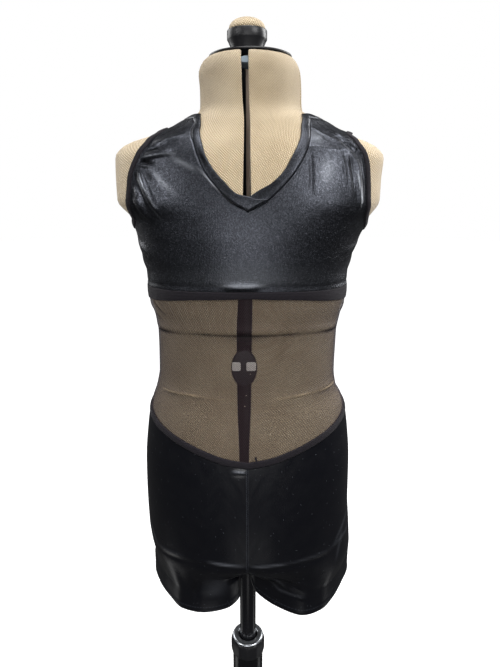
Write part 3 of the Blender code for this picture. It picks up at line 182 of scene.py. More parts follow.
# ---------------------------------------------------------------- folds
# Fold rows: angle and height of both ends, half width and rise, in degrees, metres and mm.
# Painted-shading rows are the same with a share of painted highlight, or of painted shade below nought.
BODICE_FOLDS = (
    (-61, 1.103, -47, 1.105, 3.2, 2), (-62, 1.096, -54, 1.0955, 3, -0.7), (-62, 1.085, -54, 1.056, 2.6, 2.2),
    (-61, 1.079, -55.5, 1.052, 2.4, -0.7), (-60.5, 1.086, -49.5, 1.049, 2.8, 1.8),
    (-62.5, 1.067, -56, 1.042, 3, 1.4), (-60, 1.113, -46, 1.12, 3.5, 1.2), (60.5, 1.1215, 64, 1.106, 3, 1.8),
    (57, 1.118, 62.5, 1.095, 3.2, 1.3), (63, 1.1, 62, 1.052, 3.2, 1.8), (58, 1.096, 58.5, 1.062, 4, 1),
    (64.5, 1.086, 68, 1.048, 2.8, 1.3), (-16, 0.9785, 8, 0.978, 3.2, 1.3), (-86, 1.02, -60, 1.006, 5, 1.4),
    (86, 1.019, 62, 1.008, 5, 1.3), (-88, 1.002, -70, 0.99, 5, 1.1), (88, 1.004, 72, 0.989, 5, 1),
    (-62.5, 1.0995, -47, 1.1035, 1.5, 1.5), (-61.5, 1.1065, -52, 1.109, 1.8, -1),
    (-58.5, 1.1125, -50, 1.115, 2, 0.8), (-63, 1.0962, -55.5, 1.095, 1.2, -1.2),
    (-61, 1.0932, -55, 1.0925, 1.7, 1.4), (-62.3, 1.089, -52, 1.0535, 0.9, 1.5),
    (-61.2, 1.0905, -50, 1.0495, 0.9, 1.4), (-63, 1.073, -60.5, 1.064, 1.4, 1.2),
    (-63, 1.062, -57.5, 1.043, 1.6, 0.9), (40, 1.1098, 60, 1.1075, 2.2, 0.9),
    (51, 1.129, 60, 1.108, 1.6, 0.7), (66, 1.105, 60.5, 1.115, 1.1, 1.6), (65.6, 1.11, 61.2, 1.12, 1, 1.5),
    (65.2, 1.1145, 62.3, 1.123, 0.9, 1), (65.6, 1.1078, 60.9, 1.1178, 0.8, -0.8),
    (65.2, 1.1125, 61.8, 1.1216, 0.7, -0.7), (41, 1.106, 37.5, 1.064, 2, -0.9),
    (60, 1.104, 59, 1.068, 1.6, -1.1), (56.3, 1.104, 55.6, 1.074, 1.8, 0.8),
    (64.6, 1.099, 65.2, 1.054, 1.4, 1.2), (66, 1.07, 71, 1.04, 1.8, 0.8), (-15, 0.9772, 10, 0.9776, 1.2, 1),
    (-15, 0.9752, 12, 0.9756, 1.2, -0.9), (-80, 1.012, -62, 0.998, 2.5, 0.7), (80, 1.012, 64, 1, 2.5, 0.7),
)
BACK_FOLDS = (
    (118, 1.085, 128, 1.056, 3.4, 1.8), (117, 1.064, 132, 1.042, 3.6, 1.4),
    (118, 1.102, 134, 1.105, 3.6, 1.5), (242, 1.085, 231, 1.054, 3.4, 1.8),
    (243, 1.066, 228, 1.044, 3.6, 1.4), (243, 1.104, 227, 1.108, 3.6, 1.5), (94, 1.018, 120, 1.006, 5, 1.3),
    (266, 1.018, 238, 1.004, 5, 1.3), (165, 0.979, 192, 0.9785, 3.4, 1.2),
    (116.5, 1.096, 126, 1.096, 1.8, 0.8), (116, 1.075, 127, 1.052, 1.7, 0.7),
    (244, 1.096, 234, 1.097, 1.8, 0.8), (244, 1.076, 233, 1.054, 1.7, 0.7),
)
NECKBAND_FOLDS = (
    (8.5, 1.069, 13, 1.0745, 1.1, 0.6), (10.5, 1.065, 15, 1.0715, 1, -0.4),
    (17, 1.077, 20.5, 1.08, 1.4, 0.4),
)
MIDRIFF_FOLDS = (
    (-74, 0.917, -30, 0.9262, 2.4, -0.9), (-36, 0.9258, 36, 0.9262, 2.6, -0.7),
    (30, 0.9264, 72, 0.919, 2.4, -0.9), (-70, 0.931, 66, 0.933, 6, 0.7), (-64, 0.856, -40, 0.8565, 2.2, 1.5),
    (-44, 0.8565, -18, 0.857, 2.4, 1.1), (24, 0.857, 46, 0.8575, 2.4, 1.2), (40, 0.8575, 71, 0.86, 2.2, 1.5),
    (-76, 0.954, -62, 0.937, 3, 1.6), (80, 0.95, 88, 0.933, 3.6, 1.2), (110, 0.923, 165, 0.927, 2.6, -0.9),
    (195, 0.927, 250, 0.922, 2.6, -0.9), (105, 0.859, 150, 0.856, 2.6, 1.4),
    (208, 0.856, 256, 0.86, 2.6, 1.4),
)
FINE_MESH_FOLDS = (
    (-78, 0.9255, -22, 0.9335, 4, 2.2), (-28, 0.9333, 36, 0.9335, 4, 1.8), (28, 0.9335, 76, 0.9262, 4, 2.2),
    (-78, 0.9195, -26, 0.927, 1.2, -1.4), (-34, 0.9266, 36, 0.9268, 1.2, -1.3),
    (28, 0.927, 76, 0.9208, 1.2, -1.4), (-66, 0.8528, -36, 0.8572, 0.9, 1.5),
    (-46, 0.8566, -12, 0.8558, 0.9, 1), (20, 0.8558, 48, 0.8573, 0.9, 1), (38, 0.857, 76, 0.8548, 0.9, 1.5),
    (-66, 0.8502, -36, 0.854, 1.3, -0.9), (38, 0.8545, 74, 0.8522, 1.3, -0.9),
    (-70, 0.962, -58, 0.944, 1.2, 1.4), (-68, 0.958, -57, 0.9425, 1.2, -0.8), (74, 0.956, 70, 0.942, 1.2, 1),
)
# Painted highlights on the mesh's ridges and painted shade in and above its creases.
MESH_PAINTED_SHADING = (
    (-88, 0.9185, -26, 0.927, 1.9, -1), (-40, 0.9265, 38, 0.9267, 1.3, -0.8),
    (26, 0.9269, 88, 0.92, 1.9, -1), (-84, 0.9235, 84, 0.9245, 3.5, -0.3),
    (-68, 0.8527, -34, 0.8573, 1.2, 0.75), (-46, 0.8567, -10, 0.8556, 1.2, 0.5),
    (18, 0.8556, 48, 0.8573, 1.2, 0.5), (36, 0.8572, 78, 0.8547, 1.2, 0.75),
    (-68, 0.85, -30, 0.854, 1.4, -0.5), (30, 0.8545, 76, 0.8518, 1.4, -0.5),
    (-71, 0.962, -56, 0.9435, 0.9, 0.45), (-70, 0.958, -58, 0.942, 1.3, -0.6),
)
# Painted highlights on the bodice's ridges, shoulder patches and neckline edge, painted shade in its fold
# pockets.
BODICE_PAINTED_SHADING = (
    (-53.5, 1.138, -59.8, 1.104, 0.9, 0.45), (-59, 1.137, -64, 1.115, 3, -0.55),
    (-59.8, 1.105, -54, 1.1118, 1.8, -0.9), (-58.5, 1.108, -53, 1.1155, 0.8, 0.3),
    (-61.5, 1.1008, -45, 1.1035, 0.9, 0.42), (-61.5, 1.097, -55.5, 1.0948, 2, -0.95),
    (-60, 1.0925, -56, 1.0915, 1.3, 0.22), (-58.5, 1.088, -53, 1.079, 2.6, -0.75),
    (-63.8, 1.086, -60.8, 1.08, 1.3, -0.8), (-62.8, 1.086, -49.5, 1.0425, 0.8, 0.55),
    (-60.8, 1.085, -51, 1.053, 0.8, 0.6), (-61.2, 1.083, -51.5, 1.05, 0.7, -0.6),
    (-64.5, 1.074, -61, 1.068, 1, 0.25), (-64.5, 1.07, -62.5, 1.04, 2, -0.55),
    (-56.5, 1.089, -42, 1.067, 2.6, 0.16), (-46.5, 1.1, -32, 1.088, 2.4, 0.22),
    (-32, 1.0915, -17, 1.069, 0.8, 0.38), (-18, 1.071, -6, 1.0555, 0.8, 0.15),
    (61, 1.139, 64.8, 1.1165, 0.9, 0.35), (68, 1.133, 69.5, 1.115, 2.2, -0.5),
    (61.8, 1.121, 59.6, 1.103, 0.9, 0.35), (63.5, 1.119, 61.3, 1.106, 1.3, -0.8),
    (64.8, 1.112, 62.5, 1.102, 1, -0.6), (50.5, 1.125, 47, 1.112, 6, 0.13),
    (41, 1.1065, 59, 1.105, 1.1, -0.45), (50, 1.099, 45, 1.076, 7, 0.1), (-64, 0.987, 64, 0.987, 12, 0.1),
    (40.3, 1.106, 36, 1.062, 1.7, -0.55), (59.8, 1.102, 58, 1.082, 1.7, -0.55),
    (61.8, 1.087, 63, 1.054, 1.1, 0.4), (63.2, 1.084, 63.1, 1.072, 1.1, -0.85),
    (-19, 0.9797, 14, 0.9803, 1, 0.28), (-60, 0.9762, 60, 0.9765, 1.1, -0.5),
)
# Painted shade in the neckband's pockets and a painted highlight on one edge.
NECKBAND_PAINTED_SHADING = (
    (-34, 1.109, -25, 1.09, 3.2, -0.75), (-31, 1.109, -21.5, 1.087, 0.8, 0.3),
    (-24, 1.088, -4, 1.064, 4, -0.45), (34, 1.106, 26, 1.088, 3, -0.35), (24, 1.084, 5, 1.062, 4, -0.55),
)

# ---------------------------------------------------------------- shorts
CROTCH_START_FRONT = 0.6630
CROTCH_START_BACK = 0.6560
CROTCH_LOW = 0.6160
TURN_UNDER_SIDE = 0.6440
LEG_START = 0.6080
# The seam under the form: y, x.
SEAM_PLAN = (
    (-110, 0), (-80, 0.3), (-58, 1), (-45, 2.4), (-24, 9.6), (0, 16), (24, 12), (45, 6), (70, 1.5), (110, 0),
)
LEG_COLUMNS = ("share", "x", "y", "hem")
RIGHT_LEG = (
    (0, 14.5, 0, 0.607), (0.045, 8, -24, 0.608), (0.091, -1.5, -45.5, 0.6075), (0.12, -11.5, -50.5, 0.593),
    (0.145, -10.5, -55, 0.5805), (0.19, -25, -71.5, 0.5778), (0.25, -54, -77.5, 0.577),
    (0.31, -79, -71.5, 0.5775), (0.37, -96.5, -53.5, 0.579), (0.43, -112, -31.5, 0.5805),
    (0.5, -122.8, 0, 0.581), (0.58, -114, 36, 0.582), (0.67, -92, 66, 0.584), (0.76, -58, 80, 0.585),
    (0.85, -24, 70, 0.587), (0.909, -3, 47, 0.598), (0.955, 8, 24, 0.606), (1, 14.5, 0, 0.607),
)
LEFT_LEG = (
    (0, 17.6, 0, 0.606), (0.045, 12.2, -24, 0.606), (0.091, 5, -47, 0.601), (0.12, 9, -53, 0.589),
    (0.145, 17, -58.5, 0.5835), (0.19, 36, -69, 0.578), (0.25, 66.5, -79, 0.5742), (0.31, 88.5, -72, 0.5752),
    (0.37, 105, -55.5, 0.5772), (0.43, 119.5, -32, 0.5788), (0.5, 133, 0, 0.5798), (0.58, 124, 36, 0.582),
    (0.67, 100, 66, 0.584), (0.76, 66, 80, 0.585), (0.85, 34, 70, 0.587), (0.909, 14, 49, 0.598),
    (0.955, 15, 24, 0.605), (1, 17.6, 0, 0.606),
)
HIP_LENGTH = 0.36
RIM_DIP_RIGHT = 2.2 * MM
RIM_DIP_LEFT = -1.2 * MM
# Rows of x and z of both ends, half width and rise, in mm; in the painted-shading rows, a share of painted
# highlight, or of painted shade below nought, for the rise.
SHORTS_FRONT_FOLDS = (
    (-15, 777.6, -1, 777.2, 1.3, 1.6), (-15, 774.6, -1, 774.4, 1.6, -0.8), (-117, 682, -108, 657, 2, 0.7),
    (-112, 656, -70, 662.5, 2, 0.8), (-72, 662.5, -4, 661, 1.8, 0.8), (-110, 650, -66, 656, 2.4, -0.7),
    (-66, 656, -4, 655.5, 2.2, -0.6), (132, 668, 96, 661.5, 2, 0.8), (98, 661.5, 58, 660.5, 1.8, 0.8),
    (60, 660.5, 5, 660, 1.6, 0.8), (100, 655, 6, 654.5, 2.2, -0.6), (-37, 660.5, -3, 660.8, 1.1, 1.1),
    (5, 660.4, 38, 660, 1.1, 1.1), (8, 640, 62, 600, 2.6, 1.3), (14, 644, 68, 606, 1.8, -0.9),
    (20, 642, 84, 612, 3.2, 0.8), (58, 604, 68, 597, 1.8, 1), (-38, 636, -38, 592, 15, 1.3),
    (-64, 634, -60, 592, 3, -0.8), (-14, 634, -17, 604, 2.6, -0.7), (-90, 640, -76, 600, 5, 0.7),
)
# Painted highlights on the shorts' crease ridges and legs, painted shade in their folds.
SHORTS_PAINTED_SHADING = (
    (-16, 777.8, -1, 777.2, 1.3, 0.5), (-118, 678, -109, 656, 2, 0.1), (-111, 656, -74, 662.5, 1.6, 0.08),
    (-44, 662.8, -2, 661, 1.5, 0.26), (4, 660.6, 44, 660.2, 1.3, 0.24), (40, 660.4, 98, 662, 1.5, 0.06),
    (98, 662, 132, 668, 2, 0.08), (-36, 632, -41, 597, 12, 0.075), (-58, 632, -67, 600, 3.5, -0.4),
    (-22.5, 640, -22, 614, 1.8, -0.6), (-64, 578.5, -20, 579, 1.2, 0.1), (-3, 640, 26, 609, 4.5, -0.6),
    (-2, 634, 42, 602, 1.5, 0.1), (36, 604, 68, 601, 1.5, 0.1), (21, 643, 46, 611, 1.6, 0.08),
    (124, 692, 102, 664, 1.8, 0.08), (114, 676, 106, 636, 1.8, 0.06),
)
SHORTS_BACK_FOLDS = (
    (-100, 650, -50, 636, 4, -0.8), (100, 650, 50, 636, 4, -0.8), (-40, 628, -6, 626, 3.2, 0.9),
    (6, 626, 40, 628, 3.2, 0.9), (-70, 622, -30, 600, 5, 0.8), (30, 622, 72, 600, 5, 0.8),
)

# ---------------------------------------------------------------- stand
POLE_LOW = 0.120
TUBE_LOW = 0.030
HUB_LOW = 0.022
COLLAR_RADIUS = 23.6 * MM
COLLAR_LOW = 0.4403
RING_LOW = 0.4633
LEG_REACH = 230.0 * MM
FOOT_RADIUS = 17.0 * MM
CAP_SHIFT = 3.3 * MM
CAP_LOW = FORM_TOP + 0.5 * MM
KNOB_LOW = CAP_LOW + 2.3 * MM
# Profiles: radius and height above the piece's base, in mm.
CAP_PROFILE = (
    (0, 0), (42.3, 0), (42.8, 0.3), (43, 1), (42.7, 1.7), (42.1, 2), (30, 2), (29.4, 1.75), (28.8, 2), (0, 2),
)
KNOB_PROFILE = (
    (0, 0), (14.2, 0), (14.7, 0.6), (15.5, 4), (17.5, 9), (19.5, 13.3), (20.3, 14.6), (20.6, 15.2),
    (20.6, 22.6), (20.3, 23.2), (19.8, 23.5), (0, 23.5),
)
DIAL_HUB_PROFILE = ((11.3, -9), (18.2, -9), (19, -8.2), (19, 8.2), (18.2, 9), (11.3, 9))
POLE_PROFILE = (
    (0, 0), (18.2, 0), (18.7, 0.5), (18.7, 20), (11, 22), (11, 1075), (10.7, 1075.7), (10, 1076), (0, 1076),
)
TUBE_PROFILE = ((19, 0), (21, 0), (21, 409.5), (20.5, 410), (19, 410))
RING_PROFILE = (
    (13, 0), (20.7, 0), (21.2, 0.4), (21.3, 1.1), (20.6, 2.1), (19.6, 2.8), (18.8, 3), (14.4, 3), (13.5, 2.6),
    (13, 1.8),
)
HUB_PROFILE = (
    (0, 0), (30.8, 0), (31.7, 0.4), (32, 1.4), (32, 71), (31, 74), (29, 76.6), (26, 77.8), (22.5, 78),
    (21.3, 77.2), (21.3, 7.7), (0, 7.7),
)
FOOT_PROFILE = ((0, 0), (15.4, 0), (16.6, 0.5), (17, 1.6), (16.6, 16), (15.8, 18.2), (14.8, 19), (0, 19))
# The lock nut's profile, with the share of its flats that shows at each row.
NUT_PROFILE = (
    (11.3, 0, 0), (21.4, 0, 0), (22.6, 0.5, 0.3), (23.5, 1.6, 1), (23.6, 3, 1), (23.6, 17.2, 1),
    (23.3, 19.7, 1), (22.4, 21.8, 0.6), (21.4, 22.7, 0), (11.3, 22.7, 0),
)


class Side(Enum):
    """The wearer's two sides, as the sign of x."""

    LEFT = 1
    RIGHT = -1


class Face(Enum):
    """Front or back of the body."""

    FRONT = "front"
    BACK = "back"


class BodyName(Enum):
    """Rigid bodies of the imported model."""

    STAND = "stand"
    MAST = "mast"
    CLAMP = "clamp"
    TORSO = "torso"
    KNOB = "knob"


ARMHOLES = {
    (Side.LEFT, Face.FRONT): ARMHOLE_LEFT_FRONT, (Side.LEFT, Face.BACK): ARMHOLE_LEFT_BACK,
    (Side.RIGHT, Face.FRONT): ARMHOLE_RIGHT_FRONT, (Side.RIGHT, Face.BACK): ARMHOLE_RIGHT_BACK,
}


# ---------------------------------------------------------------- array helpers
def smooth_column(table: tuple | Array, column: int, at: Array) -> Array:
    """A table's column as a monotone cubic curve of its first column.

    Args:
        table: Rows whose first column rises.
        column: The column to read.
        at: Where to read it; clipped to the table's ends.

    Returns:
        The curve's values, without overshoot between rows.
    """
    rows = np.asarray(table, float)
    x, y = rows[:, 0], rows[:, column]
    step = np.diff(x)
    slope = np.diff(y) / step
    first, second = 2 * step[1:] + step[:-1], step[1:] + 2 * step[:-1]
    same = slope[1:] * slope[:-1] > 0
    before, after = np.where(same, slope[:-1], 1.0), np.where(same, slope[1:], 1.0)
    inner = np.where(same, (first + second) / (first / before + second / after), 0.0)
    tangent = np.concatenate([slope[:1], inner, slope[-1:]])
    at = np.clip(at, x[0], x[-1])
    i = np.clip(np.searchsorted(x, at) - 1, 0, len(step) - 1)
    t = (at - x[i]) / step[i]
    return (
        y[i] * (1 + 2 * t) * (1 - t) ** 2
        + tangent[i] * step[i] * t * (1 - t) ** 2
        + y[i + 1] * t * t * (3 - 2 * t)
        + tangent[i + 1] * step[i] * t * t * (t - 1)
    )


def path_at(table: tuple | Array, share: Array) -> Array:
    """Points of a smooth curve through a table's rows, at shares of its rows."""
    rows = np.asarray(table, float)
    knots = np.column_stack([np.arange(len(rows), dtype=float), rows])
    at = np.asarray(share) * (len(rows) - 1)
    return np.stack([smooth_column(knots, k + 1, at) for k in range(rows.shape[1])], -1)


def smooth_step(low: float, high: float, at: Array) -> Array:
    """Nought below low, one above high, and a smooth cubic between."""
    t = np.clip((np.asarray(at, float) - low) / (high - low), 0, 1)
    return t * t * (3 - 2 * t)


def bell(distance: Array, width: float) -> Array:
    """A soft bump, exp(-(d / w)^2)."""
    return np.exp(-((distance / width) ** 2))


def rounded_edge(distance: Array, radius: float) -> Array:
    """How far a rounded edge has fallen: r - sqrt(r^2 - (r - d)^2) for d under r."""
    short = np.clip(1 - np.asarray(distance) / radius, 0, 1)
    return radius * (1 - np.sqrt(1 - short**2))


def along_rows(points: Array, axis: int) -> Array:
    """Run of length along one axis of a grid of points, from nought."""
    step = np.linalg.norm(np.diff(points, axis=axis), axis=-1)
    start = np.zeros_like(np.take(step, [0], axis=axis))
    return np.concatenate([start, np.cumsum(step, axis=axis)], axis=axis)


def across_rows(start: Array, end: Array, share: Array) -> Array:
    """A net of rows that run from each start point to its end point, at the shares of the way."""
    share = share[:, None]
    return start[:, None, :] * (1 - share) + end[:, None, :] * share


def ripple(points: Array, size: float, seed: int) -> Array:
    """Soft uneven waves in space, about one wave per size, between -1 and 1.

    The sum of five plane waves, cos(k . p + c), whose directions and phases come
    from a seeded generator.
    """
    generator = np.random.default_rng(seed)
    ways = generator.normal(size=(5, 3))
    ways /= np.linalg.norm(ways, axis=1, keepdims=True)
    lengths = size * generator.uniform(0.7, 1.5, 5)
    phases = generator.uniform(0, 2 * math.pi, 5)
    total = sum(
        np.cos(points @ way * (2 * math.pi / length) + phase)
        for way, length, phase in zip(ways, lengths, phases)
    )
    return total / 5


# ---------------------------------------------------------------- body surface
@dataclass(frozen=True)
class BodySurface:
    """The form's outer surface, from level superellipse sections."""

    rows: Array = field(default_factory=lambda: np.array(SECTIONS))

    def value(self, name: str, height: Array) -> Array:
        """One named size of the sections at the heights."""
        return smooth_column(self.rows, SECTION[name], height)

    def width(self, x: Array, height: Array) -> Array:
        """Half width on the side of x, in metres."""
        left, right = self.value("left_width", height), self.value("right_width", height)
        return np.where(np.asarray(x) > 0, left, right) * MM

    def point(self, angle: Array, height: Array) -> Array:
        """Points of the surface.

        In a level section |cos a / depth|^p + |sin a / width|^p = r^-p gives the
        radius r at angle a.

        Args:
            angle: Radians from the front centre, growing to the wearer's left.
            height: Metres above the floor.

        Returns:
            Points, with one more axis of three.
        """
        angle, height = np.broadcast_arrays(np.asarray(angle, float), np.asarray(height, float))
        wide = self.width(np.sin(angle), height)
        front, back = self.value("front_depth", height), self.value("back_depth", height)
        deep = np.where(np.cos(angle) > 0, front, back) * MM
        power = self.value("squareness", height)
        cosine, sine = np.abs(np.cos(angle) / deep), np.abs(np.sin(angle) / wide)
        radius = (cosine**power + sine**power) ** (-1 / power)
        return np.stack([radius * np.sin(angle), -radius * np.cos(angle), height], -1)

    def normal(self, angle: Array, height: Array) -> Array:
        """Unit outward normals, from central differences of the points."""
        turn, climb = 1e-4, 2e-4
        across = self.point(angle + turn, height) - self.point(angle - turn, height)
        up = self.point(angle, height + climb) - self.point(angle, height - climb)
        normal = np.cross(across, up)
        return normal / np.linalg.norm(normal, axis=-1, keepdims=True)

    def lifted(self, angle: Array, height: Array, lift: Array | float) -> Array:
        """Surface points moved out by a lift along the normals."""
        angle, height = np.broadcast_arrays(np.asarray(angle, float), np.asarray(height, float))
        lift = np.broadcast_to(lift, angle.shape)[..., None]
        return self.point(angle, height) + self.normal(angle, height) * lift

    def angle_at(self, x: Array, height: Array) -> Array:
        """The angle at which a front section reaches x."""
        power = self.value("squareness", height)
        deep = self.value("front_depth", height) * MM
        y = deep * (1 - np.abs(x / self.width(x, height)) ** power) ** (1 / power)
        return np.arctan2(x, y)

    def side_angle(self, side: int, y: Array, height: Array) -> Array:
        """The angle at which a section reaches depth y beside the body, unsigned."""
        front, back = self.value("front_depth", height), self.value("back_depth", height)
        deep = np.where(y < 0, front, back) * MM
        power = self.value("squareness", height)
        x = self.width(side, height) * (1 - np.abs(y / deep) ** power) ** (1 / power)
        return np.arctan2(x, -y)

    def folds(self, table: tuple, angle: Array, height: Array) -> Array:
        """Summed rise of soft folds.

        Each fold is rise * exp(-(d / w)^2) * sin(pi s)^0.6, with d the distance to
        its line on the surface and s the share of the way along it.

        Args:
            table: Rows of angle and height of both ends, half width and rise.
            angle: Angles in radians.
            height: Heights in metres.

        Returns:
            The rise at each place in metres.
        """
        here = self.point(angle, height)
        total = np.zeros(here.shape[:-1])
        for angle_a, height_a, angle_b, height_b, half_width, rise in table:
            ends = self.point(np.radians([angle_a, angle_b]), np.array([height_a, height_b]))
            way = ends[1] - ends[0]
            share = np.clip(((here - ends[0]) @ way) / (way @ way), 0, 1)
            on_line = self.point(
                np.radians(angle_a + (angle_b - angle_a) * share),
                height_a + (height_b - height_a) * share,
            )
            away = np.linalg.norm(here - on_line, axis=-1)
            fade = np.sin(np.pi * np.clip(share, 0.02, 0.98)) ** 0.6
            total += rise * MM * bell(away, half_width * MM) * fade
        return total


BODY = BodySurface()


def turned_degrees(angle: Array) -> Array:
    """The angle's size from the front centre, 0 to 180 degrees."""
    return np.degrees(np.abs((np.asarray(angle) + math.pi) % (2 * math.pi) - math.pi))


def underbust_edge_top(angle: Array) -> Array:
    """Height of the underbust band's upper edge."""
    return smooth_column(UNDERBUST, 1, turned_degrees(angle))


def underbust_edge_low(angle: Array) -> Array:
    """Height of the underbust band's lower edge."""
    return smooth_column(UNDERBUST, 2, turned_degrees(angle))


def waist_edge(angle: Array) -> Array:
    """Height of the waist band's lower edge."""
    return smooth_column(WAIST, 1, turned_degrees(angle))


def waist_edge_top(angle: Array) -> Array:
    """Height of the waist band's upper edge."""
    return waist_edge(angle) + WAIST_BAND_WIDTH


def neck_table(side: Side, face: Face) -> Array:
    """The neckline's rows from the centre out to the shoulder seam, angles signed."""
    if face is Face.FRONT:
        return np.array(NECK_LEFT if side is Side.LEFT else NECK_RIGHT)
    middle = len(NECK_BACK) // 2
    if side is Side.LEFT:
        return np.array(NECK_BACK[: middle + 1][::-1])
    rows = np.array(NECK_BACK[middle:])
    rows[:, (0, 2)] -= 360.0
    return rows


def even_path(tables: list, share: Array) -> Array:
    """A smooth curve through joined tables of angle and height, run at an even pace."""
    dense = np.concatenate([path_at(t, np.linspace(0, 1, 300)) for t in tables])
    points = BODY.point(np.radians(dense[:, 0]), dense[:, 1])
    run = np.concatenate([[0], np.cumsum(np.linalg.norm(np.diff(points, axis=0), axis=1))])
    at = np.asarray(share) * run[-1]
    return np.stack([np.interp(at, run, dense[:, k]) for k in (0, 1)], -1)


# ---------------------------------------------------------------- meshes
def grid_faces(rows: int, columns: int, wrap_rows: bool = False, wrap_columns: bool = False) -> Array:
    """Quads of a grid of points, as indices into its flat array; a wrapped way joins its ends."""
    index = np.arange(rows * columns).reshape(rows, columns)
    if wrap_columns:
        index = np.concatenate([index, index[:, :1]], axis=1)
    if wrap_rows:
        index = np.concatenate([index, index[:1]])
    corners = (index[:-1, :-1], index[:-1, 1:], index[1:, 1:], index[1:, :-1])
    return np.stack(corners, -1).reshape(-1, 4)


def triangles(quads: Array) -> Array:
    """Quads cut in two; triangles with two corners the same are dropped."""
    tris = np.concatenate([quads[:, [0, 1, 2]], quads[:, [0, 2, 3]]])
    a, b, c = tris.T
    return tris[(a != b) & (b != c) & (c != a)]


def merged(step: float, faces: Array, points: Array, *others: Array) -> list[Array]:
    """Faces, points and what goes with each point, with points that share a step made one."""
    key = np.round(points / step).astype(np.int64)
    _, first, index = np.unique(key, axis=0, return_index=True, return_inverse=True)
    return [index.reshape(-1)[faces], points[first], *[other[first] for other in others]]


def outward(points: Array, tris: Array) -> Array:
    """The triangles of a closed body turned to face outwards, by its signed volume."""
    corners = points[tris] - points.mean(axis=0)
    return tris if np.linalg.det(corners).sum() > 0 else tris[:, ::-1]


def make_mesh(
    name: str, points: Array, faces: Array, flat: Array, materials: list[Material],
    part: Array | None = None, sharp: float = 50.0,
) -> Obj:
    """A smooth-shaded mesh object whose UV map "flat" is in metres.

    Args:
        name: The object's name.
        points: Vertex places.
        faces: Triangles or quads as vertex indices.
        flat: Each vertex's place in the flat cloth, in metres, and perhaps its painted shading.
        materials: Its materials, in slot order.
        part: Each face's material slot, or None for the first.
        sharp: Edges that turn more than this many degrees stay sharp.

    Returns:
        The linked object.
    """
    mesh = bpy.data.meshes.new(name)
    mesh.from_pydata(points.tolist(), [], faces.tolist())
    if part is not None:
        mesh.polygons.foreach_set("material_index", part.astype(np.int32))
    layer = mesh.uv_layers.new(name="flat")
    corner = np.empty(len(mesh.loops), np.int32)
    mesh.loops.foreach_get("vertex_index", corner)
    layer.data.foreach_set("uv", flat[corner, :2].astype(np.float32).ravel())
    mesh.shade_smooth()
    mesh.set_sharp_from_angle(angle=math.radians(sharp))
    for material in materials:
        mesh.materials.append(material)
    # A third column is the painted shading: painted highlights and painted shade.
    if flat.shape[1] > 2:
        tone = mesh.attributes.new("tone", "FLOAT", "POINT")
        tone.data.foreach_set("value", flat[:, 2].astype(np.float32))
    mesh.validate(clean_customdata=False)
    made = bpy.data.objects.new(name, mesh)
    bpy.context.scene.collection.objects.link(made)
    return made


def make_wall(
    name: str, outer: Array, inner: Array, flat: Array, faces: Array,
    materials: list[Material], sharp: float = 50.0,
) -> Obj:
    """A closed wall between two matching sheets of points, with its rims filled.

    Args:
        name: The object's name.
        outer: Outer points, one per row or in a grid.
        inner: Matching inner points.
        flat: Places in the flat cloth.
        faces: Quads of the outer sheet; collapsed ones are dropped.
        materials: The outer finish, and a second for the inside if it differs.
        sharp: Edges that turn more than this many degrees stay sharp.

    Returns:
        The linked object, its faces outwards.
    """
    outer, inner = outer.reshape(-1, 3), inner.reshape(-1, 3)
    count = len(outer)
    flat = flat.reshape(count, -1)
    tris = triangles(faces)
    corners = outer[tris]
    normal = np.cross(corners[:, 1] - corners[:, 0], corners[:, 2] - corners[:, 0])
    if (normal * (outer - inner)[tris[:, 0]]).sum() < 0:
        tris = tris[:, ::-1]
    edges = np.concatenate([tris[:, [k, (k + 1) % 3]] for k in range(3)])
    _, where, times = np.unique(np.sort(edges, axis=1), axis=0, return_index=True, return_counts=True)
    rim = edges[where[times == 1]]
    rim_a = np.stack([rim[:, 1], rim[:, 0], rim[:, 0] + count], -1)
    rim_b = np.stack([rim[:, 1], rim[:, 0] + count, rim[:, 1] + count], -1)
    everything = np.concatenate([tris, tris[:, ::-1] + count, rim_a, rim_b])
    part = np.zeros(len(everything), int)
    if len(materials) > 1:
        part[len(tris): 2 * len(tris)] = 1
    points, flats = np.concatenate([outer, inner]), np.concatenate([flat, flat])
    return make_mesh(name, points, everything, flats, materials, part, sharp)


# ---------------------------------------------------------------- finishes
def linear(colour: str) -> tuple[float, float, float, float]:
    """A linear colour from sRGB hex, such as "d8c3a0"."""
    parts = [int(colour[i: i + 2], 16) / 255 for i in (0, 2, 4)]
    return (*[c / 12.92 if c <= 0.04045 else ((c + 0.055) / 1.055) ** 2.4 for c in parts], 1.0)


def add_node(tree: Tree, kind: str, settings: dict | None = None, links: dict | None = None) -> Node:
    """A new node with its settings and links.

    Args:
        tree: The node tree.
        kind: The node's type, without the leading ShaderNode.
        settings: Attributes by name, and socket values by name or index.
        links: Input socket (name or index) to the output socket, number or hex that feeds it.

    Returns:
        The node.
    """
    node = tree.nodes.new("ShaderNode" + kind)
    for key, value in (settings or {}).items():
        if isinstance(key, str) and hasattr(node, key):
            setattr(node, key, value)
        else:
            node.inputs[key].default_value = value
    for key, source in (links or {}).items():
        if isinstance(source, Socket):
            tree.links.new(source, node.inputs[key])
        else:
            node.inputs[key].default_value = linear(source) if isinstance(source, str) else source
    return node


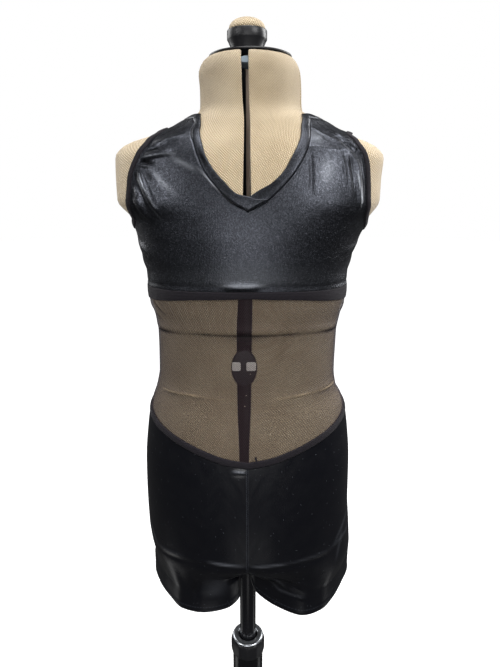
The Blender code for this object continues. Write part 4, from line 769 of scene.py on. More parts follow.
class Graph:
    """A material's nodes, with a short word for each step that the finishes share."""

    def __init__(self, finish: "Finish") -> None:
        """Starts the finish's material with its plain values on the shader."""
        self.material = bpy.data.materials.new(finish.name)
        self.material.use_nodes = True
        self.material.diffuse_color = linear(finish.colour)
        self.tree = self.material.node_tree
        self.shader = self.tree.nodes["Principled BSDF"]
        self.roughness = finish.roughness
        self.keep("Base Color", linear(finish.colour))
        self.keep("Roughness", finish.roughness)
        self.keep("Metallic", finish.metallic)
        self.keep("Specular IOR Level", finish.specular)

    def keep(self, name: str, value: object) -> None:
        """Sets a plain value on one of the shader's sockets."""
        self.shader.inputs[name].default_value = value

    def feed(self, name: str, source: Socket) -> None:
        """Links a socket of the shader."""
        self.tree.links.new(source, self.shader.inputs[name])

    def calc(self, operation: str, first: object, second: object = 0.0) -> Socket:
        """A Math node's output; each operand is a socket or a number."""
        return add_node(self.tree, "Math", {"operation": operation}, {0: first, 1: second}).outputs[0]

    def times(self, first: object, second: object) -> Socket:
        """The product of two."""
        return self.calc("MULTIPLY", first, second)

    def plus(self, first: object, second: object) -> Socket:
        """The sum of two."""
        return self.calc("ADD", first, second)

    def span(self, value: Socket, low: float, high: float, start: float = 0.0, end: float = 1.0) -> Socket:
        """The value mapped from low and high to start and end, and kept between them."""
        settings = {"From Min": low, "From Max": high, "To Min": start, "To Max": end}
        return add_node(self.tree, "MapRange", settings, {"Value": value}).outputs[0]

    def place(self) -> Socket:
        """The piece's own coordinates."""
        return add_node(self.tree, "TexCoord").outputs["Object"]

    def flat(self, turn: float = 0.0, stretch: tuple = (1, 1, 1)) -> Socket:
        """The place in the flat cloth in metres, turned by degrees and stretched."""
        uv = add_node(self.tree, "UVMap", {"uv_map": "flat"}).outputs[0]
        settings = {"Rotation": (0, 0, math.radians(turn)), "Scale": stretch}
        return add_node(self.tree, "Mapping", settings, {"Vector": uv}).outputs[0]

    def axes(self, vector: Socket) -> tuple[Socket, ...]:
        """The vector's three parts."""
        return tuple(add_node(self.tree, "SeparateXYZ", None, {0: vector}).outputs)

    def wave(self, vector: Socket, period: float, distortion: float) -> Socket:
        """Bands across the vector's first axis, one each period, in metres."""
        # The wave texture runs sin(20 x scale), so one band is pi / 10 / scale wide.
        settings = {"wave_type": "BANDS", "bands_direction": "X", "Scale": math.pi / 10 / period,
                    "Distortion": distortion, "Detail": 1.0}
        return add_node(self.tree, "TexWave", settings, {"Vector": vector}).outputs["Fac"]

    def noise(self, place: Socket, size: float, detail: float = 2.0) -> Socket:
        """Noise whose largest features are about this size, in metres."""
        settings = {"Scale": 1 / size, "Detail": detail}
        return add_node(self.tree, "TexNoise", settings, {"Vector": place}).outputs["Fac"]

    def cells(self, place: Socket, size: float) -> tuple[Socket, ...]:
        """Cells of a size in metres: the distance to the nearest centre, and three random numbers."""
        node = add_node(self.tree, "TexVoronoi", {"Scale": 1 / size}, {"Vector": place})
        random = add_node(self.tree, "SeparateColor", None, {0: node.outputs["Color"]})
        return node.outputs["Distance"], *random.outputs[:3]

    def ramp(self, fac: Socket, *stops: tuple[float, str]) -> Socket:
        """A colour ramp over (place, hex) stops."""
        node = add_node(self.tree, "ValToRGB", None, {"Fac": fac})
        elements = node.color_ramp.elements
        while len(elements) < len(stops):
            elements.new(0.5)
        for element, (place, colour) in zip(elements, stops):
            element.position = place
            element.color = linear(colour)
        return node.outputs["Color"]

    def blend(self, share: Socket, first: Socket | str, second: Socket | str) -> Socket:
        """Two colours, each a socket or a hex, mixed by a share of the second."""
        return add_node(self.tree, "Mix", {"data_type": "RGBA"}, {0: share, 6: first, 7: second}).outputs[2]

    def tone(self) -> Socket:
        """The piece's painted shading: a painted highlight above nought, on ridges, and painted shade below
        nought, in folds.
        """
        return add_node(self.tree, "Attribute", {"attribute_name": "tone"}).outputs["Fac"]

    def feed_painted_shading(self, colour: Socket, light: str) -> None:
        """Feeds the colour with painted highlights where the shading is above nought and painted shade below
        it.
        """
        tone = self.tone()
        # Painted highlight towards the light colour where the shading is above nought, painted shade towards
        # near black where it is below.
        colour = self.blend(tone, colour, light)
        self.feed("Base Color", self.blend(self.times(tone, -1.0), colour, "050506"))

    def gloss(self, fac: Socket, less: float, more: float) -> None:
        """Lets the roughness run from this much less to this much more with a noise."""
        self.feed("Roughness", self.span(fac, 0.3, 0.7, self.roughness - less, self.roughness + more))

    def bump(self, height: Socket, distance: float, strength: float, under: Socket | None = None) -> Socket:
        """Bump of the height, in metres, put on the shader's normal over another bump."""
        links = {"Height": height} if under is None else {"Height": height, "Normal": under}
        made = add_node(self.tree, "Bump", {"Distance": distance, "Strength": strength}, links).outputs[0]
        self.feed("Normal", made)
        return made


@dataclass(frozen=True)
class Finish:
    """A Principled finish: its name, record slot, colour, gloss and pattern."""

    name: str
    slot: str
    colour: str
    roughness: float
    metallic: float = 0.0
    specular: float = 0.5

    def build(self) -> Material:
        """The finished node material."""
        graph = Graph(self)
        self.dress(graph)
        return graph.material

    def dress(self, graph: Graph) -> None:
        """Adds the finish's own pattern; plain by default."""


class FormKnit(Finish):
    """Beige jersey glued over plastic shells: matte, with fine slanting ribs."""

    def dress(self, graph: Graph) -> None:
        """Two slanting sets of ribs, 1.8 mm apart, cross into small raised dots."""
        one, two = graph.wave(graph.flat(34), 1.8 * MM, 0.6), graph.wave(graph.flat(-58), 2 * MM, 0.6)
        dots = graph.times(one, graph.plus(two, 0.35))
        soil = graph.noise(graph.place(), 29 * MM, 3.0)
        shade = graph.plus(graph.times(dots, 0.55), graph.times(soil, 0.35))
        graph.feed("Base Color", graph.ramp(shade, (0.05, "8c7352"), (0.42, self.colour), (0.9, "ebdcc0")))
        graph.keep("Sheen Weight", 0.35)
        graph.keep("Sheen Roughness", 0.5)
        graph.bump(dots, 0.55 * MM, 1.0)


class MetallicSpandex(Finish):
    """Four-way stretch knit printed with a fine foil: dark, satin, with sparkle."""

    def dress(self, graph: Graph) -> None:
        """Foil flecks about 1 mm across, coarser than real, over ribs; painted highlights on its ridges and
        painted shade in its folds.
        """
        place = graph.flat()
        _, shade, dull, high = graph.cells(place, 1.1 * MM)
        # Painted highlights go towards pale grey on the ridges, painted shade towards near black in the
        # folds.
        graph.feed_painted_shading(graph.ramp(shade, (0.0, "35373c"), (0.6, self.colour), (1.0, "4f5158")), "c3c8d0")
        graph.gloss(dull, 0.07, 0.07)
        under = graph.bump(graph.wave(place, 1.7 * MM, 0.3), 0.04 * MM, 0.7)
        graph.bump(graph.plus(graph.times(high, 0.25), graph.noise(place, 1.0 * MM)), 0.24 * MM, 0.8, under)


class MatteElastic(Finish):
    """Woven elastic braid: matte black, with ribs along its length."""

    def dress(self, graph: Graph) -> None:
        """Ribs 1.2 mm apart across the braid, crossed by fainter ones."""
        ribs, cross = graph.wave(graph.flat(90), 1.2 * MM, 0.8), graph.wave(graph.flat(), 1.5 * MM, 0.5)
        weave = graph.plus(graph.times(ribs, 0.7), graph.times(cross, 0.3))
        graph.feed("Base Color", graph.ramp(weave, (0.1, "100e12"), (0.6, self.colour), (0.95, "353138")))
        graph.keep("Sheen Weight", 0.05)
        graph.bump(weave, 0.25 * MM, 0.9)


class PowerMesh(Finish):
    """Sheer stretch mesh of fine black yarn, which lets a third of the light by."""

    def dress(self, graph: Graph) -> None:
        """A slanting net of yarn, 1.5 mm apart and so coarser than real; edge-on it closes up; painted
        highlights on its ridges and painted shade, with closer cover, in its creases.
        """
        place = graph.flat()
        one, two = graph.wave(graph.flat(40), 1.45 * MM, 1.2), graph.wave(graph.flat(-47), 1.6 * MM, 1.2)
        net = graph.times(graph.plus(one, two), graph.times(graph.noise(place, 1.6 * MM, 3.0), 2.0))
        away, random, *_ = graph.cells(place, 3.4 * MM)
        glint = graph.times(graph.calc("LESS_THAN", away, 0.15), graph.calc("GREATER_THAN", random, 0.93))
        yarn = graph.ramp(net, (0.2, "171214"), (0.8, self.colour), (1.0, "3d3034"))
        # Painted highlights on the ridges and painted shade in the creases; the shade also closes the net's
        # cover.
        graph.feed_painted_shading(graph.blend(glint, yarn, "b8ad9c"), "b39c7c")
        cover = graph.span(graph.plus(net, glint), 0.2, 1.7, 0.19, 0.66)
        dense = graph.times(graph.calc("MINIMUM", graph.tone(), 0.0), -0.45)
        facing = add_node(graph.tree, "LayerWeight", {"Blend": 0.30}).outputs["Facing"]
        closed = graph.times(graph.calc("POWER", facing, 2.0), 0.9)
        cover = graph.plus(graph.plus(cover, dense), closed)
        graph.feed("Alpha", graph.calc("MINIMUM", cover, 1.0))
        graph.bump(net, 0.20 * MM, 0.7)


class BlackSpandex(Finish):
    """Plain four-way stretch knit: black, smooth, with a soft satin gloss."""

    def dress(self, graph: Graph) -> None:
        """Fine grain, blotches of gloss, lint specks, the stitches of hem and centre seam, and painted
        highlights and painted shade on its folds.
        """
        place = graph.flat()
        graph.gloss(graph.noise(place, 17 * MM), 0.04, 0.06)
        away, random, *_ = graph.cells(place, 5.0 * MM)
        kept = graph.times(graph.calc("GREATER_THAN", random, 0.4), 0.5)
        lint = graph.times(graph.calc("LESS_THAN", away, 0.07), kept)
        round_way, above_hem, _ = graph.axes(place)
        hem = self.stitches(graph, above_hem, round_way, 7.4 * MM)
        seam = self.stitches(graph, round_way, above_hem, 0.6 * MM)
        cloth = graph.blend(lint, self.colour, "8a8f98")
        # Painted highlights towards pale grey on the crease ridges, painted shade towards near black in the
        # folds.
        graph.feed_painted_shading(graph.blend(graph.calc("MAXIMUM", hem, seam), cloth, "383b42"), "9a9ea8")
        graph.bump(graph.noise(place, 2.6 * MM, 0.0), 0.06 * MM, 0.5)

    def stitches(self, graph: Graph, across: Socket, along: Socket, place: float) -> Socket:
        """A row of stitches 0.6 mm wide and 1.7 mm long, one every 2.6 mm, at a place across."""
        off = graph.calc("ABSOLUTE", graph.calc("SUBTRACT", across, place))
        step = graph.calc("FRACT", graph.calc("DIVIDE", along, 2.6 * MM))
        return graph.times(graph.calc("LESS_THAN", off, 0.30 * MM), graph.calc("LESS_THAN", step, 0.65))


class SatinPlastic(Finish):
    """Moulded ABS: black, satin, with the faint grain of its mould."""

    def dress(self, graph: Graph) -> None:
        """Fine grain of about 0.6 mm and small changes of gloss from handling."""
        place = graph.place()
        graph.gloss(graph.noise(place, 22 * MM, 4.0), 0.08, 0.10)
        graph.bump(graph.noise(place, 0.6 * MM), 0.03 * MM, 0.5)


class PaintedSteel(SatinPlastic):
    """Steel tube under glossy black paint, with fine orange-peel."""


class HighlightStreakSteel(PaintedSteel):
    """Steel tube under black paint, dulled inside the form, with a painted highlight streak inside the bust.
    """

    def dress(self, graph: Graph) -> None:
        """Glossy below the form; above a height of 0.97 m a pale streak 4 mm wide down the front, a painted
        highlight.
        """
        super().dress(graph)
        x, _, z = graph.axes(graph.place())
        graph.feed("Roughness", graph.span(z, 0.64, 0.70, self.roughness, 0.55))
        # Painted highlight: a pale streak 4 mm wide down the front above 0.97 m.
        off = graph.calc("ABSOLUTE", graph.calc("SUBTRACT", x, 0.9 * MM))
        bare = graph.times(graph.span(z, 0.965, 0.985), graph.span(off, 2.4 * MM, 1.5 * MM))
        graph.feed("Base Color", graph.blend(bare, self.colour, "ecd3be"))


class BrightPlate(Finish):
    """Nickel plate on steel: bright, with hairline marks of turning."""

    def dress(self, graph: Graph) -> None:
        """Uneven hairlines by a noise drawn out along the ring."""
        graph.gloss(graph.noise(graph.flat(0.0, (0.2, 8.0, 1.0)), 3.3 * MM, 3.0), 0.05, 0.12)


class FootRubber(SatinPlastic):
    """Moulded rubber: dark grey and dull."""


class PaleFloor(Finish):
    """A plain floor that glows towards white away from the stand."""

    def dress(self, graph: Graph) -> None:
        """The glow grows with the distance from the stand."""
        away = add_node(graph.tree, "VectorMath", {"operation": "LENGTH"}, {0: graph.place()})
        graph.keep("Emission Color", WHITE)
        graph.feed("Emission Strength", graph.span(away.outputs["Value"], 0.2, 1.6, 0.70, 1.02))


class FinishName(Enum):
    """The finishes of the object."""

    KNIT = FormKnit("glued beige jersey", "form_knit", "cfbb99", 0.92, specular=0.2)
    METALLIC = MetallicSpandex("foil-printed spandex", "metallic_spandex", "3f4147", 0.36, 0.92)
    ELASTIC = MatteElastic("woven elastic braid", "matte_elastic", "1c191e", 0.85, specular=0.2)
    MESH = PowerMesh("black power mesh", "power_mesh", "2f1c24", 0.70, specular=0.3)
    SPANDEX = BlackSpandex("black spandex", "black_spandex", "0b0c12", 0.31)
    PLASTIC = SatinPlastic("moulded black ABS", "black_plastic", "1d1d20", 0.40)
    STEEL = PaintedSteel("glossy painted steel", "black_steel", "101013", 0.22)
    POLE = HighlightStreakSteel("part-painted steel", "black_steel", "1b1b1f", 0.22)
    CHROME = BrightPlate("bright nickel plate", "chrome", "c6cacf", 0.30, 1.0)
    RUBBER = FootRubber("moulded rubber", "rubber", "1c1c1d", 0.80)
    LABEL = SatinPlastic("pale moulded plate", "black_plastic", "e9e2dc", 0.55)
    # The bushing's pale blue-grey colour is a painted reflection.
    SLEEVE = SatinPlastic("pale blue bushing", "black_plastic", "a9bccb", 0.35)


class FinishSet:
    """Builds each finish once."""

    def __init__(self) -> None:
        """Starts with none built."""
        self._made: dict[FinishName, Material] = {}

    def __getitem__(self, name: FinishName) -> Material:
        """The material of a finish."""
        if name not in self._made:
            self._made[name] = name.value.build()
        return self._made[name]


# ---------------------------------------------------------------- sub-assemblies
def shell_names(faces: Iterable[Face] = Face, sides: Iterable[Side] = Side) -> list[str]:
    """Names of the form's shells on these faces and sides."""
    return [f"knit_shell_{face.value}_{side.name.lower()}" for face in faces for side in sides]


@dataclass
class Assembly:
    """What every sub-assembly shares: the frame, the finishes and how a piece is placed."""

    frame: dict
    finishes: FinishSet

    def settle(self, piece: Obj, body: BodyName, finish: FinishName, *nodes: str) -> None:
        """Puts a piece on its body and the nodes that it stands for."""
        if nodes:
            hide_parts(*nodes)
        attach(piece, body.value)
        LOG.info("%s: %d faces", piece.name, len(piece.data.polygons))

    def sewn(self, piece: Obj, finish: FinishName, node: str, cut: tuple, under: list[str]) -> None:
        """Settles cloth on the torso; its cut, a width, length and area, and the pieces that it rests on are
        not used.
        """
        self.settle(piece, BodyName.TORSO, finish, node)
        cut[:2]
        cut[2]
        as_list(under)

    def turned(
        self, name: str, profile: Iterable, base: float, body: BodyName, finish: FinishName, *nodes: str,
        sides: int = 96, centre: tuple[float, float] = (0.0, 0.0), closed: bool = False,
    ) -> None:
        """A piece turned round an upright axis: (r, z) becomes the ring (r cos a, r sin a, z).

        Args:
            name: The object's name.
            profile: Rows of radius and height above the base in mm, counter-clockwise.
            base: The base's height in metres.
            body: The body that it rides on.
            finish: Its finish.
            nodes: The nodes that it stands for.
            sides: Points in each ring.
            centre: Where the axis stands.
            closed: The profile is a loop off the axis, as of a ring.
        """
        rows = np.array(profile) * MM + (0.0, base)
        turn = np.arange(sides) * 2 * math.pi / sides
        radius, height = rows[:, :1], np.broadcast_to(rows[:, 1:], (len(rows), sides))
        grid = np.stack([radius * np.cos(turn) + centre[0], radius * np.sin(turn) + centre[1], height], -1)
        flat = np.stack(np.broadcast_arrays(turn * radius.max(), along_rows(rows, 0)[:, None]), -1)
        quads = grid_faces(len(rows), sides, closed, True)
        faces, points, flat = merged(1e-7, quads, grid.reshape(-1, 3), flat.reshape(-1, 2))
        piece = make_mesh(name, points, triangles(faces), flat, [self.finishes[finish]], None, 35.0)
        self.settle(piece, body, finish, *nodes)

    def paint(self, node: str, finish: FinishName) -> None:
        """Gives a carried-over node its finish."""
        made = self.frame["nodes"][node]
        made.data.materials.clear()
        made.data.materials.append(self.finishes[finish])


@dataclass
class DressForm(Assembly):
    """The four knit-covered shells, the neck's cap and knob, and the waist dial."""

    wall: float = 4.0 * MM
    edge_radius: float = 1.7 * MM
    levels: int = 130
    side_gap: float = 1.6 * MM
    back_gap: float = 3.5 * MM
    rim_fade: float = 0.055

    def build(self) -> None:
        """Makes and places every piece of the form."""
        for side in Side:
            for face in Face:
                self.shell(side, face)
        self.cap_and_knob()
        self.dial()
        for node in ("hip_spider", "chest_spider"):
            self.paint(node, FinishName.PLASTIC)

    def slot_half(self, height: Array) -> Array:
        """Half the front slot's width: the larger of its table and the dial's oval notch."""
        off = np.clip(np.abs(height - DIAL_CENTRE) / NOTCH_HALF_HEIGHT, 0, 1)
        return np.maximum(smooth_column(FRONT_SLOT, 2, height) * MM, NOTCH_HALF_WIDTH * np.sqrt(1 - off**2))

    def limits(self, side: Side, face: Face, level: Array) -> tuple[Array, Array]:
        """Unsigned start and end angles of a shell at each level."""
        gap_y = smooth_column(SIDE_SLOT, 1 if side is Side.LEFT else 2, level) * MM
        if face is Face.BACK:
            depth = BODY.value("back_depth", level) * MM
            start = BODY.side_angle(side.value, gap_y + self.side_gap, level)
            return start, math.pi - np.arcsin(self.back_gap / depth)
        if side is Side.LEFT:
            gap_y = gap_y - 2.2 * MM * bell(level - 1.152, 0.011)
        edge = smooth_column(FRONT_SLOT, 1, level) * MM + side.value * self.slot_half(level)
        start = side.value * BODY.angle_at(edge, level)
        return start, BODY.side_angle(side.value, gap_y - self.side_gap, level)

    def shell(self, side: Side, face: Face) -> None:
        """One shell: the surface between its slots, its edges rounded over.

        The outer sheet falls by r - sqrt(r^2 - (r - d)^2) within r of an edge,
        with d the distance from it, and the inner one lies a wall inside.
        """
        rim = np.array([0.2, 0.5, 0.9, 1.4, 2.2]) * MM
        level = np.unique(np.concatenate([
            RIM_SIDE + (FORM_TOP - RIM_SIDE) * np.linspace(0, 1, self.levels),
            np.linspace(DIAL_CENTRE - NOTCH_HALF_HEIGHT, DIAL_CENTRE + NOTCH_HALF_HEIGHT, 41),
            RIM_SIDE + rim, FORM_TOP - rim,
        ]))
        start, end = self.limits(side, face, level)
        near = np.array([0.0, 0.15, 0.45, 0.9, 1.5, 2.4]) * MM / 0.13
        share = np.concatenate([near, np.linspace(0.04, 0.96, 46), 1 - near[::-1]])
        angle = start[:, None] + (end - start)[:, None] * share
        rise = np.where(np.cos(angle) > 0, RIM_RISE_FRONT, RIM_RISE_BACK) * np.cos(angle) ** 2
        height = level[:, None] + rise * (1 - smooth_step(0.0, self.rim_fade, level - RIM_SIDE)[:, None])
        signed = angle * side.value
        run = along_rows(BODY.point(signed, height), 1)
        to_side = np.minimum(run, run[:, -1:] - run)
        to_end = np.minimum(level - level[0], level[-1] - level)[:, None]
        drop = rounded_edge(to_side, self.edge_radius) + rounded_edge(to_end, self.edge_radius)
        outer, inner = (BODY.lifted(signed, height, -depth) for depth in (drop, self.wall))
        flat = np.stack([signed * FLAT_RADIUS, height], -1)
        both = [self.finishes[FinishName.KNIT], self.finishes[FinishName.PLASTIC]]
        name = shell_names([face], [side])[0]
        piece = make_wall(name, outer, inner, flat, grid_faces(*height.shape), both, 70.0)
        self.settle(piece, BodyName.TORSO, FinishName.KNIT, f"form_{face.value}_{side.name.lower()}")

    def cap_and_knob(self) -> None:
        """The thin disc on the neck, the knob that flares to a band and its knit dome."""
        self.turned("neck_disc", CAP_PROFILE, CAP_LOW, BodyName.TORSO, FinishName.PLASTIC, "neck_cap",
                    sides=128, centre=(CAP_SHIFT, 0.0))
        self.turned("turning_knob", KNOB_PROFILE, KNOB_LOW, BodyName.KNOB, FinishName.PLASTIC, "neck_knob")
        turn = np.linspace(0, math.pi / 2, 24)
        dome = np.stack([18.7 * np.cos(turn) ** 0.86, 1.0 + 10.4 * np.sin(turn)], -1)
        rows, low = np.concatenate([[(0, 0), (18.2, 0)], dome]), KNOB_LOW + 23.8 * MM
        self.turned("knit_dome", rows, low, BodyName.KNOB, FinishName.KNIT, "knob_cushion", sides=72)
        # Its pale blue-grey colour stands in for a reflection on it: a painted reflection.
        self.oval("neck_bushing", (0.0, 1.1925), (9.0, 3.1), -0.0405, 28.0 * MM, FinishName.SLEEVE)

    def dial(self) -> None:
        """The oval adjuster: a rounded plate in the slot, its stem, its hub and two plain plates."""
        front = -float(BODY.value("front_depth", DIAL_CENTRE)) * MM + 1.4 * MM
        centre = float(smooth_column(FRONT_SLOT, 1, DIAL_CENTRE)) * MM
        self.oval("adjuster_plate", (centre, DIAL_CENTRE), (12.9, 20.0), front, 4 * MM, FinishName.PLASTIC,
                  "waist_dial")
        self.turned("adjuster_hub", DIAL_HUB_PROFILE, DIAL_CENTRE, BodyName.TORSO, FinishName.PLASTIC,
                    sides=64, closed=True)
        self.oval("adjuster_stem", (centre * 0.5, DIAL_CENTRE), (4.5, 4.5), front + 3 * MM, -21 * MM - front,
                  FinishName.PLASTIC)
        for side, low, high in ((Side.RIGHT, -12.6, -3.6), (Side.LEFT, 2.4, 12.6)):
            middle = (centre + (low + high) / 2 * MM, DIAL_CENTRE + 2.2 * MM)
            self.oval(f"pale_plate_{side.name.lower()}", middle, ((high - low) / 2, 4.8), front - 0.35 * MM,
                      0.6 * MM, FinishName.LABEL, power=6.0)

    def oval(
        self, name: str, centre: tuple[float, float], half: tuple[float, float], front: float,
        depth: float, finish: FinishName, *nodes: str, power: float = 2.0,
    ) -> None:
        """An upright superellipse plate that faces the front, its front edge a quarter round.

        Args:
            name: The object's name.
            centre: Its x and height in metres.
            half: Half its width and height in mm.
            front: The y of its front face.
            depth: Its thickness.
            finish: Its finish.
            nodes: The nodes that it stands for.
            power: 2 for an oval; more for a rounded rectangle.
        """
        turn = np.linspace(0, 2 * math.pi, 73)[:-1]
        bend = np.linspace(0, math.pi / 2, 6)
        radius = min(1.2 * MM, depth * 0.4)
        scale = np.concatenate([[0.0], 1 - radius * (1 - np.sin(bend)) / (half[0] * MM), [1.0, 0.0]])[:, None]
        deep = np.concatenate([[0.0], radius * (1 - np.cos(bend)), [depth, depth]])[:, None]
        ways = np.stack([np.cos(turn), np.sin(turn)])
        x, z = np.array(half)[:, None] * MM * np.sign(ways) * np.abs(ways) ** (2 / power)
        grid = np.stack(np.broadcast_arrays(centre[0] + scale * x, front + deep, centre[1] + scale * z), -1)
        quads, points = grid_faces(len(scale), len(turn), wrap_columns=True), grid.reshape(-1, 3)
        faces, points, flat = merged(1e-7, quads, points, points[:, (0, 2)])
        tris = outward(points, triangles(faces))
        piece = make_mesh(name, points, tris, flat, [self.finishes[finish]], None, 40.0)
        self.settle(piece, BodyName.TORSO, finish, *nodes)


@dataclass
class Stand(Assembly):
    """Pole, tube, lock collar with its bright ring, and the base with its feet."""

    facets: int = 12
    feet: int = 4

    def build(self) -> None:
        """Makes and places every piece of the stand; collar and legs keep their own solids."""
        self.turned("bright_pole", POLE_PROFILE, POLE_LOW, BodyName.MAST, FinishName.POLE, "pole")
        self.turned("outer_sleeve", TUBE_PROFILE, TUBE_LOW, BodyName.STAND, FinishName.STEEL, "outer_tube",
                    closed=True)
        self.lock()
        self.turned("bright_washer", RING_PROFILE, RING_LOW, BodyName.CLAMP, FinishName.CHROME, "lock_ring",
                    closed=True)
        self.turned("base_housing", HUB_PROFILE, HUB_LOW, BodyName.STAND, FinishName.PLASTIC, "base_hub")
        distance = LEG_REACH - FOOT_RADIUS - 2 * MM
        for k in range(self.feet):
            bearing = math.pi / 4 + k * math.pi / 2
            centre = (distance * math.cos(bearing), distance * math.sin(bearing))
            self.turned(f"round_foot_{k + 1}", FOOT_PROFILE, 0.0, BodyName.STAND, FinishName.RUBBER,
                        f"foot_{k + 1}", sides=64, centre=centre)
            self.paint(f"stand_leg_{k + 1}", FinishName.STEEL)
        self.paint("stop_collar", FinishName.PLASTIC)

    def lock(self) -> None:
        """The faceted lock nut.

        Its plan is r(a) = R / cos(((a n / 2pi) mod 1 - 1/2) 2pi / n) capped by a
        circle, so its flats meet in short rounded corners.
        """
        sides = self.facets * 12
        turn = np.arange(sides) * 2 * math.pi / sides
        part = (turn * self.facets / (2 * math.pi)) % 1 - 0.5
        flats = np.minimum(np.cos(math.pi / self.facets) / np.cos(part * 2 * math.pi / self.facets), 0.992)
        rows = np.array(NUT_PROFILE) * (MM, MM, 1.0)
        radius = rows[:, :1] * (1 - rows[:, 2:] * (1 - flats))
        height = np.broadcast_to(COLLAR_LOW + rows[:, 1:2], radius.shape)
        points = np.stack([radius * np.cos(turn), radius * np.sin(turn), height], -1).reshape(-1, 3)
        flat = np.stack([turn * COLLAR_RADIUS + 0 * radius, height], -1).reshape(-1, 2)
        tris = outward(points, triangles(grid_faces(*radius.shape, True, True)))
        nut = make_mesh("lock_nut", points, tris, flat, [self.finishes[FinishName.PLASTIC]], None, 18.0)
        self.settle(nut, BodyName.CLAMP, FinishName.PLASTIC, "lock_collar")


@dataclass
class Bodice(Assembly):
    """Front and back bodice, the crossover neckband and the armhole bindings."""

    columns: dict = field(default_factory=lambda: {Face.FRONT: 112, Face.BACK: 76})
    rows_high: dict = field(default_factory=lambda: {Face.FRONT: 124, Face.BACK: 84})
    rows_low: int = 36
    binding_steps: int = 300
    past_side: float = 0.12
    waves: float = 0.25 * MM
    hem_roll: float = 0.4 * MM
    hem_groove: float = 0.35 * MM
    neck_fall: float = 1.1 * MM
    tucked: tuple[float, float] = (1.7 * MM, 0.15 * MM)
    neckband_crown: float = 0.5 * MM
    neckband_groove: float = 0.55 * MM
    neckband_edge: float = 0.9 * MM
    lap_lift: float = 0.6 * MM
    binding_wall: float = 0.9 * MM
    binding_crown: float = 0.25 * MM
    binding_waves: float = 0.15 * MM
    panels: list = field(default_factory=lambda: [f"bodice_{face.value}_cloth" for face in Face])

    def build(self) -> None:
        """Makes and places every piece of the bodice."""
        self.panel(Face.FRONT, BODICE_FOLDS, BODICE_PAINTED_SHADING, (0.345, 0.165, 0.0385))
        self.panel(Face.BACK, BACK_FOLDS, (), (0.35, 0.185, 0.0525))
        self.neckband()
        for side in Side:
            self.binding(side)

    def half_net(self, side: Side, face: Face) -> Array:
        """One half panel as a net between the centre and neck, and the side and armhole.

        Args:
            side: The wearer's side.
            face: Front or back.

        Returns:
            The net's angles in degrees and heights in metres, in rows from the hem upwards.
        """
        front = face is Face.FRONT
        low, high = np.linspace(0, 1, self.rows_low + 1), np.linspace(0, 1, self.rows_high[face] + 1)[1:]
        arm = ARMHOLES[side, face][:: 1 if front else -1]
        seam = side.value * (90.0 - self.past_side if front else 90.0 + self.past_side)
        table = neck_table(side, face)
        centre = table[0, :2]
        hem_centre = float(underbust_edge_top(np.radians(centre[0]))) + SEAM_GAP
        hem_side = float(underbust_edge_top(math.pi / 2)) + SEAM_GAP
        up_centre = np.stack([np.full(len(low), centre[0]), hem_centre + (centre[1] - hem_centre) * low], -1)
        up_side = np.stack([np.full(len(low), seam), hem_side + (arm[0][1] - hem_side) * low], -1)
        inner = np.concatenate([up_centre, path_at(table, high)[:, :2]])
        outer = np.concatenate([up_side, even_path([arm], high)])
        even = np.linspace(0, 1, self.columns[face] + 1)
        share = 1 - (1 - np.concatenate([[0.0, 0.0028, 0.0065], even[1:]])) ** 1.25
        net = across_rows(inner, outer, share)
        if not front:
            net[-1, :, 0] += side.value * 0.35
        hem = underbust_edge_top(np.radians(net[0, :, 0])) + SEAM_GAP
        ease = np.clip(1 - np.arange(len(net)) / self.rows_low, 0, 1)[:, None]
        net[:, :, 1] += (hem - net[0, :, 1]) * ease
        return net

    def relief(self, side: Side, face: Face, folds: tuple, net: Array, at_neck: Array) -> Array:
        """Height of half a panel's outer face over its inner one.

        Args:
            side: The wearer's side.
            face: Front or back.
            folds: The panel's fold rows.
            net: The half panel's net.
            at_neck: Which of its rows end at the neckband.

        Returns:
            The wall with its folds, its turned hem and its fall under the neckband, in metres.
        """
        angle, height = np.radians(net[..., 0]), net[..., 1]
        turn = 2 * math.pi if face is Face.BACK and side is Side.RIGHT else 0.0
        bare = BODY.point(angle, height)
        run = along_rows(bare, 1)
        edge = smooth_step(4.6 * MM, 7.5 * MM, run[:, -1:] - run)
        rise = BODY.folds(folds, angle + turn, height) * edge + self.waves * ripple(bare, 0.05, 7) * edge
        above_hem = height - underbust_edge_top(angle)
        rise += self.hem_roll * bell(above_hem - 1.2 * MM, 1.5 * MM)
        rise -= self.hem_groove * bell(above_hem - 4.4 * MM, 1.4 * MM)
        rise -= self.neck_fall * bell(run, 0.7 * MM) * at_neck
        return CLOTH_WALL + np.maximum(rise, -0.92 * CLOTH_WALL)

    def half(self, side: Side, face: Face, folds: tuple, shading_rows: tuple) -> list[Array]:
        """Half a panel: its quads, its outer and inner points and their places in the flat cloth."""
        net = self.half_net(side, face)
        at_neck = (np.arange(len(net)) > self.rows_low)[:, None]
        rise = self.relief(side, face, folds, net, at_neck)
        # Two more columns run under the neckband and draw the cloth's edge in and down.
        first = along_rows(BODY.point(np.radians(net[..., 0]), net[..., 1]), 1)[:, 2:3]
        under = (net[:, :1] - net[:, 2:3]) / np.maximum(first, 1e-9)[..., None] * at_neck[..., None]
        tongue = net[:, :1] + under * np.array(self.tucked)[:, None]
        wide = np.concatenate([tongue, net], axis=1)
        angle, height = np.radians(wide[..., 0]), wide[..., 1]
        sunk = np.where(at_neck, -0.1 * MM, rise[:, :1]) * np.ones((1, 2))
        low = np.where(at_neck, -0.6 * MM, 0.0) * np.ones((1, 2))
        top = np.concatenate([sunk, rise], axis=1)
        low = np.concatenate([low, np.zeros_like(rise)], axis=1)
        outer, inner = (BODY.lifted(angle, height, CLOTH_CLEAR + lift) for lift in (top, low))
